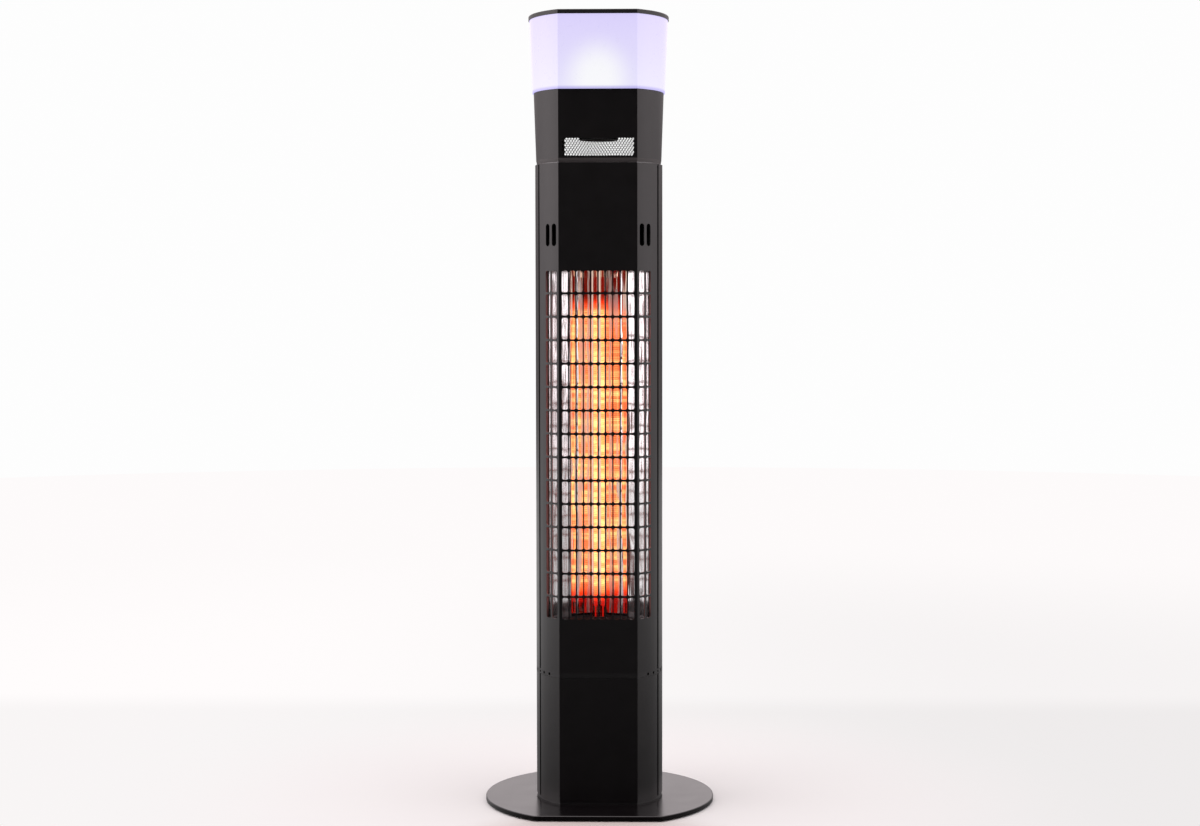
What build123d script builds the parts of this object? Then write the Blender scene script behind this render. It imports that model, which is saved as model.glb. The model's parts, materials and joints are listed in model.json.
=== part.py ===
from build123d import *

import os
from math import atan2, cos, degrees, radians, sin, sqrt

# Infrared patio heater tower: a round column with a flat at its front and back, on a steel plate.
# Millimetres. +Z is up, the front faces -Y, and the origin is under the middle of the base plate.

# ---------------------------------------------------------------- driving dimensions

# Heights of the stack, from the floor up
foot_pad_thickness = 2.0
base_plate_thickness = 6.0
foot_section_height = 176.9
vent_ring_height = 6.6
body_height = 702.8
head_neck_height = 1.5
head_bevel_height = 4.5
head_height = 93.3
lamp_height = 100.4
cap_thickness = 6.0

# Plan of the column: a circle with a flat of one width at the front and at the back
flat_half_width = 54.0
body_radius = 88.9
head_neck_step = -2.6
head_bevel_step = -2.3
head_bottom_step = -1.4
head_top_step = 1.8
lamp_bottom_step = 3.45
lamp_top_step = 7.6
cap_step = 8.8
base_plate_radius = 160.8
base_plate_flat_half_width = 86.3

# Sheets, walls and clearances
panel_sheet = 1.5
head_wall = 1.6
lamp_wall = 2.5
rail_sheet = 1.4
chassis_sheet = 3.0
seat_gap = 0.3
thread_gap = 0.1
running_gap = 0.05

# Rubber pads and screws under the base plate
foot_pad_radius = 12.0
foot_pad_circle = 118.0
base_edge_bevel = 0.8
base_screw_radius = 3.0
base_screw_head_radius = 5.8
base_screw_spacing_x = 90.0
base_screw_spacing_y = 70.0

# Foot section
trim_height = 4.0
trim_inset = 1.2
trim_width = 6.0
foot_floor_thickness = 4.3
foot_web_y = -28.0
foot_web_sheet = 2.0
foot_screw_margin = 33.0

# Seam between the front and rear shells, as an angle from the front, and the rails behind it
seam_angle = 67.0
seam_gap = 2.0
rear_edge_setback = 2.8
flange_depth = 10.0
rail_foot_depth = 12.7
rail_foot_width = 13.0
rail_lap_angle = 47.0
panel_screw_angle = 106.0
panel_screw_radius = 2.0
panel_screw_length = 7.0
panel_screw_head_radius = 3.6
panel_screw_head_height = 2.2
body_screw_margin = 24.0
body_screw_count = 4

# Vent ring and the bolts through it
vent_ring_wall = 8.0
bolt_boss_reach = 10.0
lead_opening_radius = 18.0
ring_vent_count = 10
ring_vent_first_angle = 50.5
ring_vent_step = 8.7
ring_vent_width = 4.0
ring_vent_height = 3.6
ring_vent_depth = 6.0
joint_bolt_radius = 3.0
joint_bolt_head_radius = 5.0
joint_bolt_head_height = 4.0
joint_nut_thickness = 5.0
joint_nut_radius = 5.7
joint_bolt_spacing_x = 100.0
joint_bolt_spacing_y = 90.0

# Grille in the front panel
grille_rows = 15
grille_row_pitch = 32.17
grille_columns = 10
grille_column_pitch = 10.1
grille_bottom_rise = 75.2
grille_slot_width = 8.3
grille_slot_height = 29.4
grille_slot_corner = 2.5
side_slot_angles = (42.8, 51.3)
side_slot_width = 10.0
side_vent_width = 8.6
side_vent_height = 30.8
side_vent_drop = 98.7

# Cooling slots in the rear panel
rear_vent_columns = 8
rear_vent_pitch = 11.0
rear_vent_width = 5.0
rear_vent_height = 30.0
rear_vent_rise = 40.5
rear_vent_drop = 114.3

# Reflector, heating tubes and heat shield
reflector_sheet = 0.8
reflector_overlap = 5.0
trough_half_width = 40.0
trough_edge_y = -8.5
trough_back_y = 9.3
wing_gap = 0.4
end_plate_sheet = 1.5
end_rim_height = 2.5
end_rim_sheet = 1.0
shield_half_width = 44.0
shield_back_y = 24.0
shield_edge_x = 56.0
shield_edge_y = -12.0
tube_radius = 4.9
tube_wall = 1.2
tube_spacing = 10.4
tube_y = -8.0
tube_reach = 10.5
tube_seal = 8.0
element_width = 4.0
element_thickness = 1.0
element_pin_radius = 1.0
element_pin_reach = 24.0
holder_width = 30.0
holder_depth = 18.0
holder_height = 20.0
cutout_radius = 9.0
cutout_height = 10.0
cutout_rise = 338.0

# Terminal block and tip-over switch on the floor of the body
terminal_y = 30.0
terminal_depth = 18.0
terminal_height = 20.0
terminal_count = 3
element_lead_radius = 1.2
element_link_radius = 0.7
element_link_rise = 10.0
tilt_x = 28.0
tilt_y = 22.0
tilt_pivot_height = 36.0
tilt_cheek_gap = 16.0
tilt_cheek_sheet = 2.0
tilt_cheek_depth = 16.0
tilt_base_length = 30.0
tilt_pin_radius = 1.2
tilt_bob_radius = 6.5
tilt_bob_height = 12.0
tilt_bob_drop = 30.0
tilt_arm_width = 5.0

# Electronics in the top of the body
bracket_width = 90.0
bracket_height = 116.3
bracket_y = 18.0
bracket_sheet = 1.5
bracket_flange = 20.0
standoff_radius = 3.0
standoff_height = 6.0
standoff_spacing_x = 72.0
standoff_spacing_z = 58.0
board_width = 84.0
board_height = 70.0
board_thickness = 1.6
board_drop = 66.3
relay_length = 20.0
relay_width = 15.0
relay_height = 14.0

# Control panel on the back
control_drop = 49.3
control_width = 92.0
control_height = 36.0
control_thickness = 2.5
control_skirt_width = 84.0
control_skirt_height = 28.0
control_skirt_depth = 7.0
control_wall = 1.5
rocker_x = 28.0
rocker_length = 16.4
rocker_width = 10.2
rocker_rise = 3.2
rocker_tilt = 9.0
rocker_pin_radius = 1.2
switch_wall = 2.0
switch_depth = 17.0
switch_flange = 1.6
switch_cavity_depth = 9.0
button_xs = (8.0, -5.5, -19.0, -32.5)
button_names = ("heat_button", "light_button", "volume_up_button", "volume_down_button")
button_radius = 4.5
button_flange_radius = 5.7
button_flange_thickness = 1.0
button_stem_radius = 1.5
button_stem_length = 7.0
button_proud = 1.5
tact_switch_size = 6.0
tact_switch_height = 4.0

# Cable gland in the back of the foot
gland_rise = 37.0
gland_bore_radius = 3.8
gland_thread_radius = 8.0
gland_hex_radius = 11.0
gland_hex_thickness = 5.0
gland_nut_thickness = 5.0
gland_dome_radius = 10.5
gland_dome_length = 12.0
gland_inside_length = 9.0
gland_outside_length = 9.0

# Head: windows, meshes and loudspeaker
front_window_width = 98.5
front_window_rise = 2.6
front_window_height = 24.6
rear_window_width = 101.0
rear_window_rise = 3.7
rear_window_height = 36.0
window_corner = 1.5
mesh_sheet = 0.8
mesh_border = 1.8
front_mesh_columns = 26
front_mesh_rows = 8
front_mesh_pitch_x = 3.78
front_mesh_pitch_z = 3.0
rear_mesh_columns = 24
rear_mesh_rows = 11
rear_mesh_pitch_x = 4.2
rear_mesh_pitch_z = 3.2
mesh_bar = 0.75
head_ring_width = 10.0
head_ring_lip = 2.0
head_bolt_radius = 2.0
head_bolt_head_radius = 3.5
head_bolt_head_height = 3.0
speaker_radius = 27.0
speaker_rise = 29.1
speaker_flange_thickness = 1.6
speaker_opening_radius = 22.5
speaker_can_wall = 2.0
speaker_can_flange_radius = 34.0
speaker_magnet_radius = 16.0
speaker_magnet_height = 14.0
speaker_frame_depth = 17.0
speaker_neck_radius = 12.0

# Lamp
tray_sheet = 2.0
tray_skirt_depth = 5.0
led_board_radius = 30.0
led_board_thickness = 1.6
led_count = 12
led_circle = 21.0
led_size = 5.0
led_height = 1.4
cap_skirt_depth = 3.0
cap_skirt_wall = 2.0
cap_edge_round = 1.5

# ---------------------------------------------------------------- heights and radii worked out

base_bottom_z = foot_pad_thickness
base_top_z = base_bottom_z + base_plate_thickness
trim_top_z = base_top_z + trim_height
ring_bottom_z = base_top_z + foot_section_height
ring_top_z = ring_bottom_z + vent_ring_height
floor_top_z = ring_top_z + chassis_sheet
body_top_z = ring_top_z + body_height
roof_bottom_z = body_top_z - chassis_sheet
bevel_bottom_z = body_top_z + head_neck_height
head_bottom_z = bevel_bottom_z + head_bevel_height
head_top_z = head_bottom_z + head_height
lamp_top_z = head_top_z + lamp_height
overall_height = lamp_top_z + cap_thickness

head_neck_radius = body_radius + head_neck_step
head_bevel_radius = body_radius + head_bevel_step
head_bottom_radius = body_radius + head_bottom_step
head_top_radius = body_radius + head_top_step
lamp_bottom_radius = body_radius + lamp_bottom_step
lamp_top_radius = body_radius + lamp_top_step
cap_radius = body_radius + cap_step
rail_foot_radius = body_radius - rail_foot_depth

grille_bottom_z = ring_top_z + grille_bottom_rise
grille_height = (grille_rows - 1) * grille_row_pitch + grille_slot_height
grille_top_z = grille_bottom_z + grille_height
grille_middle_z = grille_bottom_z + grille_height / 2
side_vent_z = body_top_z - side_vent_drop
rear_vent_levels = (ring_top_z + rear_vent_rise, body_top_z - rear_vent_drop)
reflector_bottom_z = grille_bottom_z - reflector_overlap
reflector_top_z = grille_top_z + reflector_overlap
cutout_z = reflector_bottom_z + cutout_rise
bracket_bottom_z = roof_bottom_z - bracket_height
board_z = body_top_z - board_drop
control_z = body_top_z - control_drop
gland_z = base_top_z + gland_rise
front_window_z = head_bottom_z + front_window_rise + front_window_height / 2
rear_window_z = head_bottom_z + rear_window_rise + rear_window_height / 2
speaker_bottom_z = head_bottom_z + speaker_rise
foot_screw_heights = (trim_top_z + foot_screw_margin, ring_bottom_z - foot_screw_margin)
body_screw_step = (body_height - 2 * body_screw_margin) / (body_screw_count - 1)
body_screw_heights = [
    ring_top_z + body_screw_margin + step * body_screw_step for step in range(body_screw_count)
]


def flat_of(radius):
    """Distance of the front and back flats from the axis, on a column of this radius."""
    return sqrt(radius**2 - flat_half_width**2)


body_flat = flat_of(body_radius)
base_plate_flat = sqrt(base_plate_radius**2 - base_plate_flat_half_width**2)
body_inner_radius = body_radius - panel_sheet
lap_outer_radius = body_inner_radius - seat_gap
lap_inner_radius = lap_outer_radius - rail_sheet


def lamp_radius(z):
    """Outer radius of the flared lamp at a height."""
    share = (z - head_top_z) / lamp_height
    return lamp_bottom_radius + share * (lamp_top_radius - lamp_bottom_radius)


def column_outline(radius, flat):
    """A circle cut by a flat at the front and one at the back."""
    Circle(radius)
    Rectangle(2 * radius, 2 * flat, mode=Mode.INTERSECT)


def place(radius, angle, aside=0.0):
    """A point at an angle from the front, and so far aside of that radius, towards the back."""
    turn = radians(angle)
    return (radius * sin(turn) + aside * cos(turn), -radius * cos(turn) + aside * sin(turn))


def facing(angle, radius=0.0, z=0.0):
    """An upright plane that looks outwards at an angle from the front."""
    turn = radians(angle)
    return Plane(
        origin=(radius * sin(turn), -radius * cos(turn), z),
        x_dir=(cos(turn), sin(turn), 0),
        z_dir=(sin(turn), -cos(turn), 0),
    )


def wedge(angle, mode):
    """The part of the plan that lies within an angle of the front."""
    reach = 4 * body_radius
    Polygon((0, 0), place(reach, -angle), place(reach, angle), mode=mode)


def both_sides(angle):
    return (angle, -angle)


seam_edge_angle = degrees(seam_gap / 2 / body_radius)
rear_edge_angle = degrees((seam_gap / 2 + rear_edge_setback) / body_radius)
upwards = (Align.CENTER, Align.CENTER, Align.MIN)
downwards = (Align.CENTER, Align.CENTER, Align.MAX)

# ---------------------------------------------------------------- base

with BuildPart() as base_feet:
    with BuildSketch():
        with PolarLocations(foot_pad_circle, 4, start_angle=45):
            Circle(foot_pad_radius)
    extrude(amount=foot_pad_thickness)

base_screw_head_height = base_screw_head_radius - base_screw_radius
base_screw_length = base_plate_thickness + foot_floor_thickness
base_screw_grid = (base_screw_spacing_x, base_screw_spacing_y, 2, 2)

with BuildPart() as base_plate:
    with BuildSketch(Plane.XY.offset(base_bottom_z)):
        column_outline(base_plate_radius, base_plate_flat)
    extrude(amount=base_plate_thickness)
    chamfer(base_plate.faces().sort_by(Axis.Z)[-1].edges(), base_edge_bevel)
    with Locations(Location((0, 0, base_bottom_z), (180, 0, 0))):
        with GridLocations(*base_screw_grid):
            CounterSinkHole(
                base_screw_radius + seat_gap,
                base_screw_head_radius + seat_gap,
                counter_sink_angle=90,
            )

with BuildPart() as base_screws:
    with Locations((0, 0, base_bottom_z)):
        with GridLocations(*base_screw_grid):
            Cone(base_screw_head_radius, base_screw_radius, base_screw_head_height, align=upwards)
            Cylinder(base_screw_radius, base_screw_length, align=upwards)
    with BuildSketch(Plane.XY.offset(base_bottom_z)):
        with GridLocations(*base_screw_grid):
            RegularPolygon(base_screw_radius * 0.6, 6)
    extrude(amount=base_screw_head_height * 0.7, mode=Mode.SUBTRACT)

# ---------------------------------------------------------------- rails behind the seams

lap_middle_radius = (lap_outer_radius + lap_inner_radius) / 2
rail_inner_radius = rail_foot_radius - rail_sheet / 2

with BuildSketch() as rail_section:
    with BuildLine():
        CenterArc((0, 0), lap_middle_radius, seam_angle - 90, rail_lap_angle)
    trace(line_width=rail_sheet)
    with BuildLine():
        Line(place(rail_foot_radius, seam_angle), place(lap_outer_radius, seam_angle))
    trace(line_width=rail_sheet)
    with BuildLine():
        Line(
            place(rail_foot_radius, seam_angle, -rail_sheet / 2),
            place(rail_foot_radius, seam_angle, rail_foot_width),
        )
    trace(line_width=rail_sheet)

panel_screw_hole = panel_screw_radius + thread_gap

with BuildPart() as side_rail_right:
    with BuildSketch(Plane.XY.offset(floor_top_z)):
        add(rail_section.sketch)
    extrude(amount=roof_bottom_z - floor_top_z)
    for z in body_screw_heights:
        with BuildSketch(facing(panel_screw_angle, body_radius, z)):
            Circle(panel_screw_hole)
        extrude(amount=-panel_screw_length, mode=Mode.SUBTRACT)

with BuildPart() as side_rail_left:
    add(mirror(side_rail_right.part, about=Plane.YZ, mode=Mode.PRIVATE))

with BuildPart() as pan_screw:
    Cylinder(panel_screw_radius, panel_screw_length, align=downwards)
    Cylinder(panel_screw_head_radius, panel_screw_head_height, align=upwards)
    fillet(pan_screw.edges().sort_by(Axis.Z)[-1], panel_screw_head_height / 2)
    with BuildSketch(Plane.XY.offset(panel_screw_head_height)):
        Rectangle(panel_screw_radius * 1.8, panel_screw_radius * 0.4)
        Rectangle(panel_screw_radius * 0.4, panel_screw_radius * 1.8)
    extrude(amount=-panel_screw_head_height / 2, mode=Mode.SUBTRACT)

# ---------------------------------------------------------------- foot section

floor_inset = trim_inset + trim_width + seat_gap
flange_inset = panel_sheet + seat_gap
joint_bolt_grid = (joint_bolt_spacing_x, joint_bolt_spacing_y, 2, 2)
joint_bolt_hole = joint_bolt_radius + seat_gap
foot_screw_spots = [
    facing(angle, body_radius, z) for z in foot_screw_heights for angle in both_sides(panel_screw_angle)
]

with BuildPart() as foot_frame:
    with BuildSketch(Plane.XY.offset(base_top_z)):
        column_outline(body_radius - floor_inset, body_flat - floor_inset)
    extrude(amount=foot_floor_thickness)
    with BuildSketch(Plane.XY.offset(base_top_z + foot_floor_thickness)):
        add(rail_section.sketch)
        mirror(about=Plane.YZ)
        with Locations((0, foot_web_y)):
            Rectangle(2 * place(rail_foot_radius, seam_angle)[0], foot_web_sheet)
    extrude(amount=foot_section_height - foot_floor_thickness)
    with BuildSketch(Plane.XY.offset(ring_bottom_z - chassis_sheet)):
        column_outline(body_radius - flange_inset, body_flat - flange_inset)
        Circle(lead_opening_radius, mode=Mode.SUBTRACT)
        with GridLocations(*joint_bolt_grid):
            Circle(joint_bolt_hole, mode=Mode.SUBTRACT)
    extrude(amount=chassis_sheet)
    with Locations((0, 0, base_top_z)):
        with GridLocations(*base_screw_grid):
            Cylinder(
                base_screw_radius + thread_gap,
                foot_floor_thickness,
                align=upwards,
                mode=Mode.SUBTRACT,
            )
    for spot in foot_screw_spots:
        with BuildSketch(spot):
            Circle(panel_screw_hole)
        extrude(amount=-panel_screw_length, mode=Mode.SUBTRACT)

with BuildPart() as foot_trim_ring:
    with BuildSketch(Plane.XY.offset(base_top_z)):
        column_outline(body_radius - trim_inset, body_flat - trim_inset)
        offset(amount=-trim_width, kind=Kind.INTERSECTION, mode=Mode.SUBTRACT)
    extrude(amount=trim_height)

flange_outer_radius = body_radius - panel_sheet / 2
flange_inner_radius = body_inner_radius - flange_depth
flange_aside = seam_gap / 2 + panel_sheet / 2
flange_middle = place((flange_outer_radius + flange_inner_radius) / 2, seam_angle, -flange_aside)


def front_shell_section():
    """The skin from seam to seam round the front."""
    column_outline(body_radius, body_flat)
    offset(amount=-panel_sheet, kind=Kind.INTERSECTION, mode=Mode.SUBTRACT)
    wedge(seam_angle - seam_edge_angle, Mode.INTERSECT)


def seam_flanges():
    """The strips that the front shell turns inwards along its two seams."""
    for side in (1, -1):
        with Locations((side * flange_middle[0], flange_middle[1])):
            Rectangle(
                flange_outer_radius - flange_inner_radius,
                panel_sheet,
                rotation=side * (seam_angle - 90),
            )


def rear_shell_section():
    """The skin from seam to seam round the back."""
    column_outline(body_radius, body_flat)
    offset(amount=-panel_sheet, kind=Kind.INTERSECTION, mode=Mode.SUBTRACT)
    wedge(seam_angle + rear_edge_angle, Mode.SUBTRACT)


foot_panel_height = foot_section_height - trim_height - seat_gap
foot_flange_bottom_z = base_top_z + foot_floor_thickness + seat_gap
foot_flange_top_z = ring_bottom_z - chassis_sheet - seat_gap

with BuildPart() as foot_front_panel:
    with BuildSketch(Plane.XY.offset(trim_top_z)):
        front_shell_section()
    extrude(amount=foot_panel_height)
    with BuildSketch(Plane.XY.offset(foot_flange_bottom_z)):
        seam_flanges()
    extrude(amount=foot_flange_top_z - foot_flange_bottom_z)

with BuildPart() as foot_rear_panel:
    with BuildSketch(Plane.XY.offset(trim_top_z)):
        rear_shell_section()
    extrude(amount=foot_panel_height)
    for spot in foot_screw_spots:
        with BuildSketch(spot):
            Circle(panel_screw_radius + seat_gap)
        extrude(amount=-2 * panel_sheet, mode=Mode.SUBTRACT)
    with BuildSketch(facing(180, body_flat, gland_z)):
        Circle(gland_thread_radius + seat_gap)
    extrude(amount=-2 * panel_sheet, mode=Mode.SUBTRACT)

with BuildPart() as foot_panel_screws:
    with Locations(*foot_screw_spots):
        add(pan_screw.part)

# ---------------------------------------------------------------- cable gland

gland_wall = facing(180, body_flat, gland_z)

with BuildPart() as cable_gland:
    with BuildSketch(gland_wall.offset(-gland_inside_length)):
        Circle(gland_thread_radius)
    extrude(amount=gland_inside_length + gland_hex_thickness + gland_outside_length)
    with BuildSketch(gland_wall):
        RegularPolygon(gland_hex_radius, 6)
    extrude(amount=gland_hex_thickness)
    with BuildSketch(gland_wall.offset(-gland_inside_length)):
        Circle(gland_bore_radius)
    extrude(
        amount=gland_inside_length + gland_hex_thickness + gland_outside_length,
        mode=Mode.SUBTRACT,
    )

with BuildPart() as gland_lock_nut:
    with BuildSketch(gland_wall.offset(-panel_sheet)):
        RegularPolygon(gland_hex_radius, 6)
        Circle(gland_thread_radius + thread_gap, mode=Mode.SUBTRACT)
    extrude(amount=-gland_nut_thickness)

dome_cavity = gland_outside_length + seat_gap

with BuildPart() as gland_dome_nut:
    with BuildSketch(gland_wall.offset(gland_hex_thickness)):
        Circle(gland_dome_radius)
    extrude(amount=gland_dome_length)
    fillet(gland_dome_nut.edges().sort_by(Axis.Y)[-1], gland_dome_radius / 3)
    with BuildSketch(gland_wall.offset(gland_hex_thickness)):
        Circle(gland_thread_radius + thread_gap)
    extrude(amount=dome_cavity, mode=Mode.SUBTRACT)
    with BuildSketch(gland_wall.offset(gland_hex_thickness)):
        Circle(gland_bore_radius)
    extrude(amount=gland_dome_length, mode=Mode.SUBTRACT)

# ---------------------------------------------------------------- vent ring and joint bolts

ring_mid_z = (ring_bottom_z + ring_top_z) / 2
ring_inner_radius = body_radius - vent_ring_wall
boss_edge_x = joint_bolt_spacing_x / 2 - bolt_boss_reach
boss_edge_y = joint_bolt_spacing_y / 2 - bolt_boss_reach

with BuildPart() as vent_ring:
    with BuildSketch(Plane.XY.offset(ring_bottom_z)):
        column_outline(body_radius, body_flat)
        Rectangle(
            2 * sqrt(ring_inner_radius**2 - boss_edge_y**2),
            2 * boss_edge_y,
            mode=Mode.SUBTRACT,
        )
        Rectangle(2 * boss_edge_x, 2 * (body_flat - vent_ring_wall), mode=Mode.SUBTRACT)
        with GridLocations(*joint_bolt_grid):
            Circle(joint_bolt_hole, mode=Mode.SUBTRACT)
    extrude(amount=vent_ring_height)
    for step in range(ring_vent_count):
        for angle in both_sides(ring_vent_first_angle + step * ring_vent_step):
            with BuildSketch(facing(angle, body_radius, ring_mid_z)):
                RectangleRounded(ring_vent_width, ring_vent_height, ring_vent_height / 3)
            extrude(amount=-ring_vent_depth, mode=Mode.SUBTRACT)

joint_grip = chassis_sheet + vent_ring_height + chassis_sheet + joint_nut_thickness

with BuildPart() as joint_bolts:
    with Locations((0, 0, ring_bottom_z - chassis_sheet)):
        with GridLocations(*joint_bolt_grid):
            Cylinder(joint_bolt_head_radius, joint_bolt_head_height, align=downwards)
            Cylinder(joint_bolt_radius, joint_grip + seat_gap, align=upwards)

with BuildPart() as joint_nuts:
    with BuildSketch(Plane.XY.offset(floor_top_z)):
        with GridLocations(*joint_bolt_grid):
            RegularPolygon(joint_nut_radius, 6)
            Circle(joint_bolt_radius + thread_gap, mode=Mode.SUBTRACT)
    extrude(amount=joint_nut_thickness)

# ---------------------------------------------------------------- floor and roof of the body

head_bolt_x = head_neck_radius - head_ring_width / 2
head_bolt_y = flat_of(head_neck_radius) - head_ring_width / 2
head_bolt_spots = [(head_bolt_x, 0), (-head_bolt_x, 0), (0, head_bolt_y), (0, -head_bolt_y)]

with BuildPart() as chassis_base:
    with BuildSketch(Plane.XY.offset(ring_top_z)):
        column_outline(body_radius - flange_inset, body_flat - flange_inset)
        Circle(lead_opening_radius, mode=Mode.SUBTRACT)
        with GridLocations(*joint_bolt_grid):
            Circle(joint_bolt_hole, mode=Mode.SUBTRACT)
    extrude(amount=chassis_sheet)

with BuildPart() as chassis_top:
    with BuildSketch(Plane.XY.offset(roof_bottom_z)):
        column_outline(body_radius - flange_inset, body_flat - flange_inset)
        Circle(lead_opening_radius, mode=Mode.SUBTRACT)
        with Locations(*head_bolt_spots):
            Circle(head_bolt_radius + seat_gap, mode=Mode.SUBTRACT)
    extrude(amount=chassis_sheet)

# ---------------------------------------------------------------- front panel with the grille

body_panel_height = body_height - seat_gap
body_flange_bottom_z = floor_top_z + seat_gap
body_flange_top_z = roof_bottom_z - seat_gap

with BuildPart() as grille_panel:
    with BuildSketch(Plane.XY.offset(ring_top_z)):
        front_shell_section()
    extrude(amount=body_panel_height)
    with BuildSketch(Plane.XY.offset(body_flange_bottom_z)):
        seam_flanges()
    extrude(amount=body_flange_top_z - body_flange_bottom_z)
    with BuildSketch(facing(0, body_flat)):
        with Locations((0, grille_middle_z)):
            with GridLocations(grille_column_pitch, grille_row_pitch, grille_columns, grille_rows):
                RectangleRounded(grille_slot_width, grille_slot_height, grille_slot_corner)
    extrude(amount=-2 * panel_sheet, mode=Mode.SUBTRACT)
    for slot_angle in side_slot_angles:
        for angle in both_sides(slot_angle):
            with BuildSketch(facing(angle, body_radius + panel_sheet)):
                with Locations((0, grille_middle_z)):
                    with GridLocations(0, grille_row_pitch, 1, grille_rows):
                        RectangleRounded(side_slot_width, grille_slot_height, grille_slot_corner)
                with Locations((0, side_vent_z)):
                    SlotOverall(side_vent_height, side_vent_width, rotation=90)
            extrude(amount=-4 * panel_sheet, mode=Mode.SUBTRACT)

# ---------------------------------------------------------------- rear panel

body_screw_spots = [
    facing(angle, body_radius, z) for z in body_screw_heights for angle in both_sides(panel_screw_angle)
]

with BuildPart() as rear_panel:
    with BuildSketch(Plane.XY.offset(ring_top_z)):
        rear_shell_section()
    extrude(amount=body_panel_height)
    for spot in body_screw_spots:
        with BuildSketch(spot):
            Circle(panel_screw_radius + seat_gap)
        extrude(amount=-2 * panel_sheet, mode=Mode.SUBTRACT)
    with BuildSketch(facing(180, body_flat)):
        for level in rear_vent_levels:
            with Locations((0, level)):
                with GridLocations(rear_vent_pitch, 0, rear_vent_columns, 1):
                    SlotOverall(rear_vent_height, rear_vent_width, rotation=90)
        with Locations((0, control_z)):
            Rectangle(control_skirt_width + 2 * seat_gap, control_skirt_height + 2 * seat_gap)
    extrude(amount=-2 * panel_sheet, mode=Mode.SUBTRACT)

with BuildPart() as rear_panel_screws:
    with Locations(*body_screw_spots):
        add(pan_screw.part)

# ---------------------------------------------------------------- reflector and heat shield

reflector_length = reflector_top_z - reflector_bottom_z
trough_depth = trough_back_y - trough_edge_y
trough_radius = (trough_half_width**2 + trough_depth**2) / (2 * trough_depth)
trough_centre_y = trough_back_y - trough_radius
trough_half_angle = degrees(atan2(trough_half_width, trough_edge_y - trough_centre_y))
wing_end = place(rail_inner_radius - wing_gap, seam_angle)
lower_plate_bottom_z = reflector_bottom_z - end_plate_sheet
upper_plate_top_z = reflector_top_z + end_plate_sheet

with BuildPart() as reflector:
    with BuildSketch(Plane.XY.offset(reflector_bottom_z)):
        with BuildLine():
            Line(wing_end, (trough_half_width, trough_edge_y))
            ThreePointArc(
                (trough_half_width, trough_edge_y),
                (0, trough_back_y),
                (-trough_half_width, trough_edge_y),
            )
            Line((-trough_half_width, trough_edge_y), (-wing_end[0], wing_end[1]))
        trace(line_width=reflector_sheet)
    extrude(amount=reflector_length)

with BuildPart() as heat_shield:
    with BuildSketch(Plane.XY.offset(reflector_bottom_z)):
        with BuildLine():
            Polyline(
                (shield_edge_x, shield_edge_y),
                (shield_half_width, shield_back_y),
                (-shield_half_width, shield_back_y),
                (-shield_edge_x, shield_edge_y),
            )
        trace(line_width=reflector_sheet)
    extrude(amount=reflector_length)

plate_front = place(rail_inner_radius - seat_gap, seam_angle, -end_plate_sheet)
plate_side = (shield_edge_x + end_plate_sheet, shield_edge_y + reflector_sheet)
plate_back = (shield_half_width + end_plate_sheet, shield_back_y + end_plate_sheet)
rim_radius = trough_radius - reflector_sheet / 2 - end_rim_sheet / 2 - thread_gap
rim_half_angle = trough_half_angle - 2 * degrees(end_rim_sheet / trough_radius)


def end_plate_section():
    """Closes the end of the trough, with a slot for the two tubes."""
    Polygon(
        plate_front,
        plate_side,
        plate_back,
        (-plate_back[0], plate_back[1]),
        (-plate_side[0], plate_side[1]),
        (-plate_front[0], plate_front[1]),
    )
    with Locations((0, tube_y)):
        SlotCenterToCenter(tube_spacing, 2 * (tube_radius + 2 * seat_gap), mode=Mode.SUBTRACT)


with BuildSketch() as end_rim_section:
    with BuildLine():
        CenterArc((0, trough_centre_y), rim_radius, 90 - rim_half_angle, 2 * rim_half_angle)
    trace(line_width=end_rim_sheet)

with BuildPart() as reflector_bottom_plate:
    with BuildSketch(Plane.XY.offset(lower_plate_bottom_z)):
        end_plate_section()
    extrude(amount=end_plate_sheet)
    with BuildSketch(Plane.XY.offset(lower_plate_bottom_z)):
        add(end_rim_section.sketch)
    extrude(amount=end_plate_sheet + end_rim_height)

with BuildPart() as reflector_top_plate:
    with BuildSketch(Plane.XY.offset(reflector_top_z)):
        end_plate_section()
    extrude(amount=end_plate_sheet)
    with BuildSketch(Plane.XY.offset(reflector_top_z - end_rim_height)):
        add(end_rim_section.sketch)
    extrude(amount=end_plate_sheet + end_rim_height)

# ---------------------------------------------------------------- heating tubes

tube_bottom_z = lower_plate_bottom_z - tube_reach
tube_top_z = upper_plate_top_z + tube_reach
pin_bottom_z = reflector_bottom_z - element_pin_reach
pin_top_z = reflector_top_z + element_pin_reach
tube_spots = ((-tube_spacing / 2, tube_y), (tube_spacing / 2, tube_y))

with BuildPart() as quartz_tubes:
    with BuildSketch(Plane.XY.offset(tube_bottom_z)):
        with Locations(*tube_spots):
            Circle(tube_radius)
            Circle(element_pin_radius + running_gap, mode=Mode.SUBTRACT)
    extrude(amount=tube_top_z - tube_bottom_z)
    with BuildSketch(Plane.XY.offset(tube_bottom_z + tube_seal)):
        with Locations(*tube_spots):
            Circle(tube_radius - tube_wall)
    extrude(amount=tube_top_z - tube_bottom_z - 2 * tube_seal, mode=Mode.SUBTRACT)

with BuildPart() as heating_elements:
    with BuildSketch(Plane.XY.offset(reflector_bottom_z)):
        with Locations(*tube_spots):
            Rectangle(element_width, element_thickness)
    extrude(amount=reflector_length)
    with BuildSketch(Plane.XY.offset(pin_bottom_z)):
        with Locations(*tube_spots):
            Circle(element_pin_radius)
    extrude(amount=element_pin_reach + element_width)
    with BuildSketch(Plane.XY.offset(reflector_top_z - element_width)):
        with Locations(*tube_spots):
            Circle(element_pin_radius)
    extrude(amount=element_pin_reach + element_width)

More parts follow.
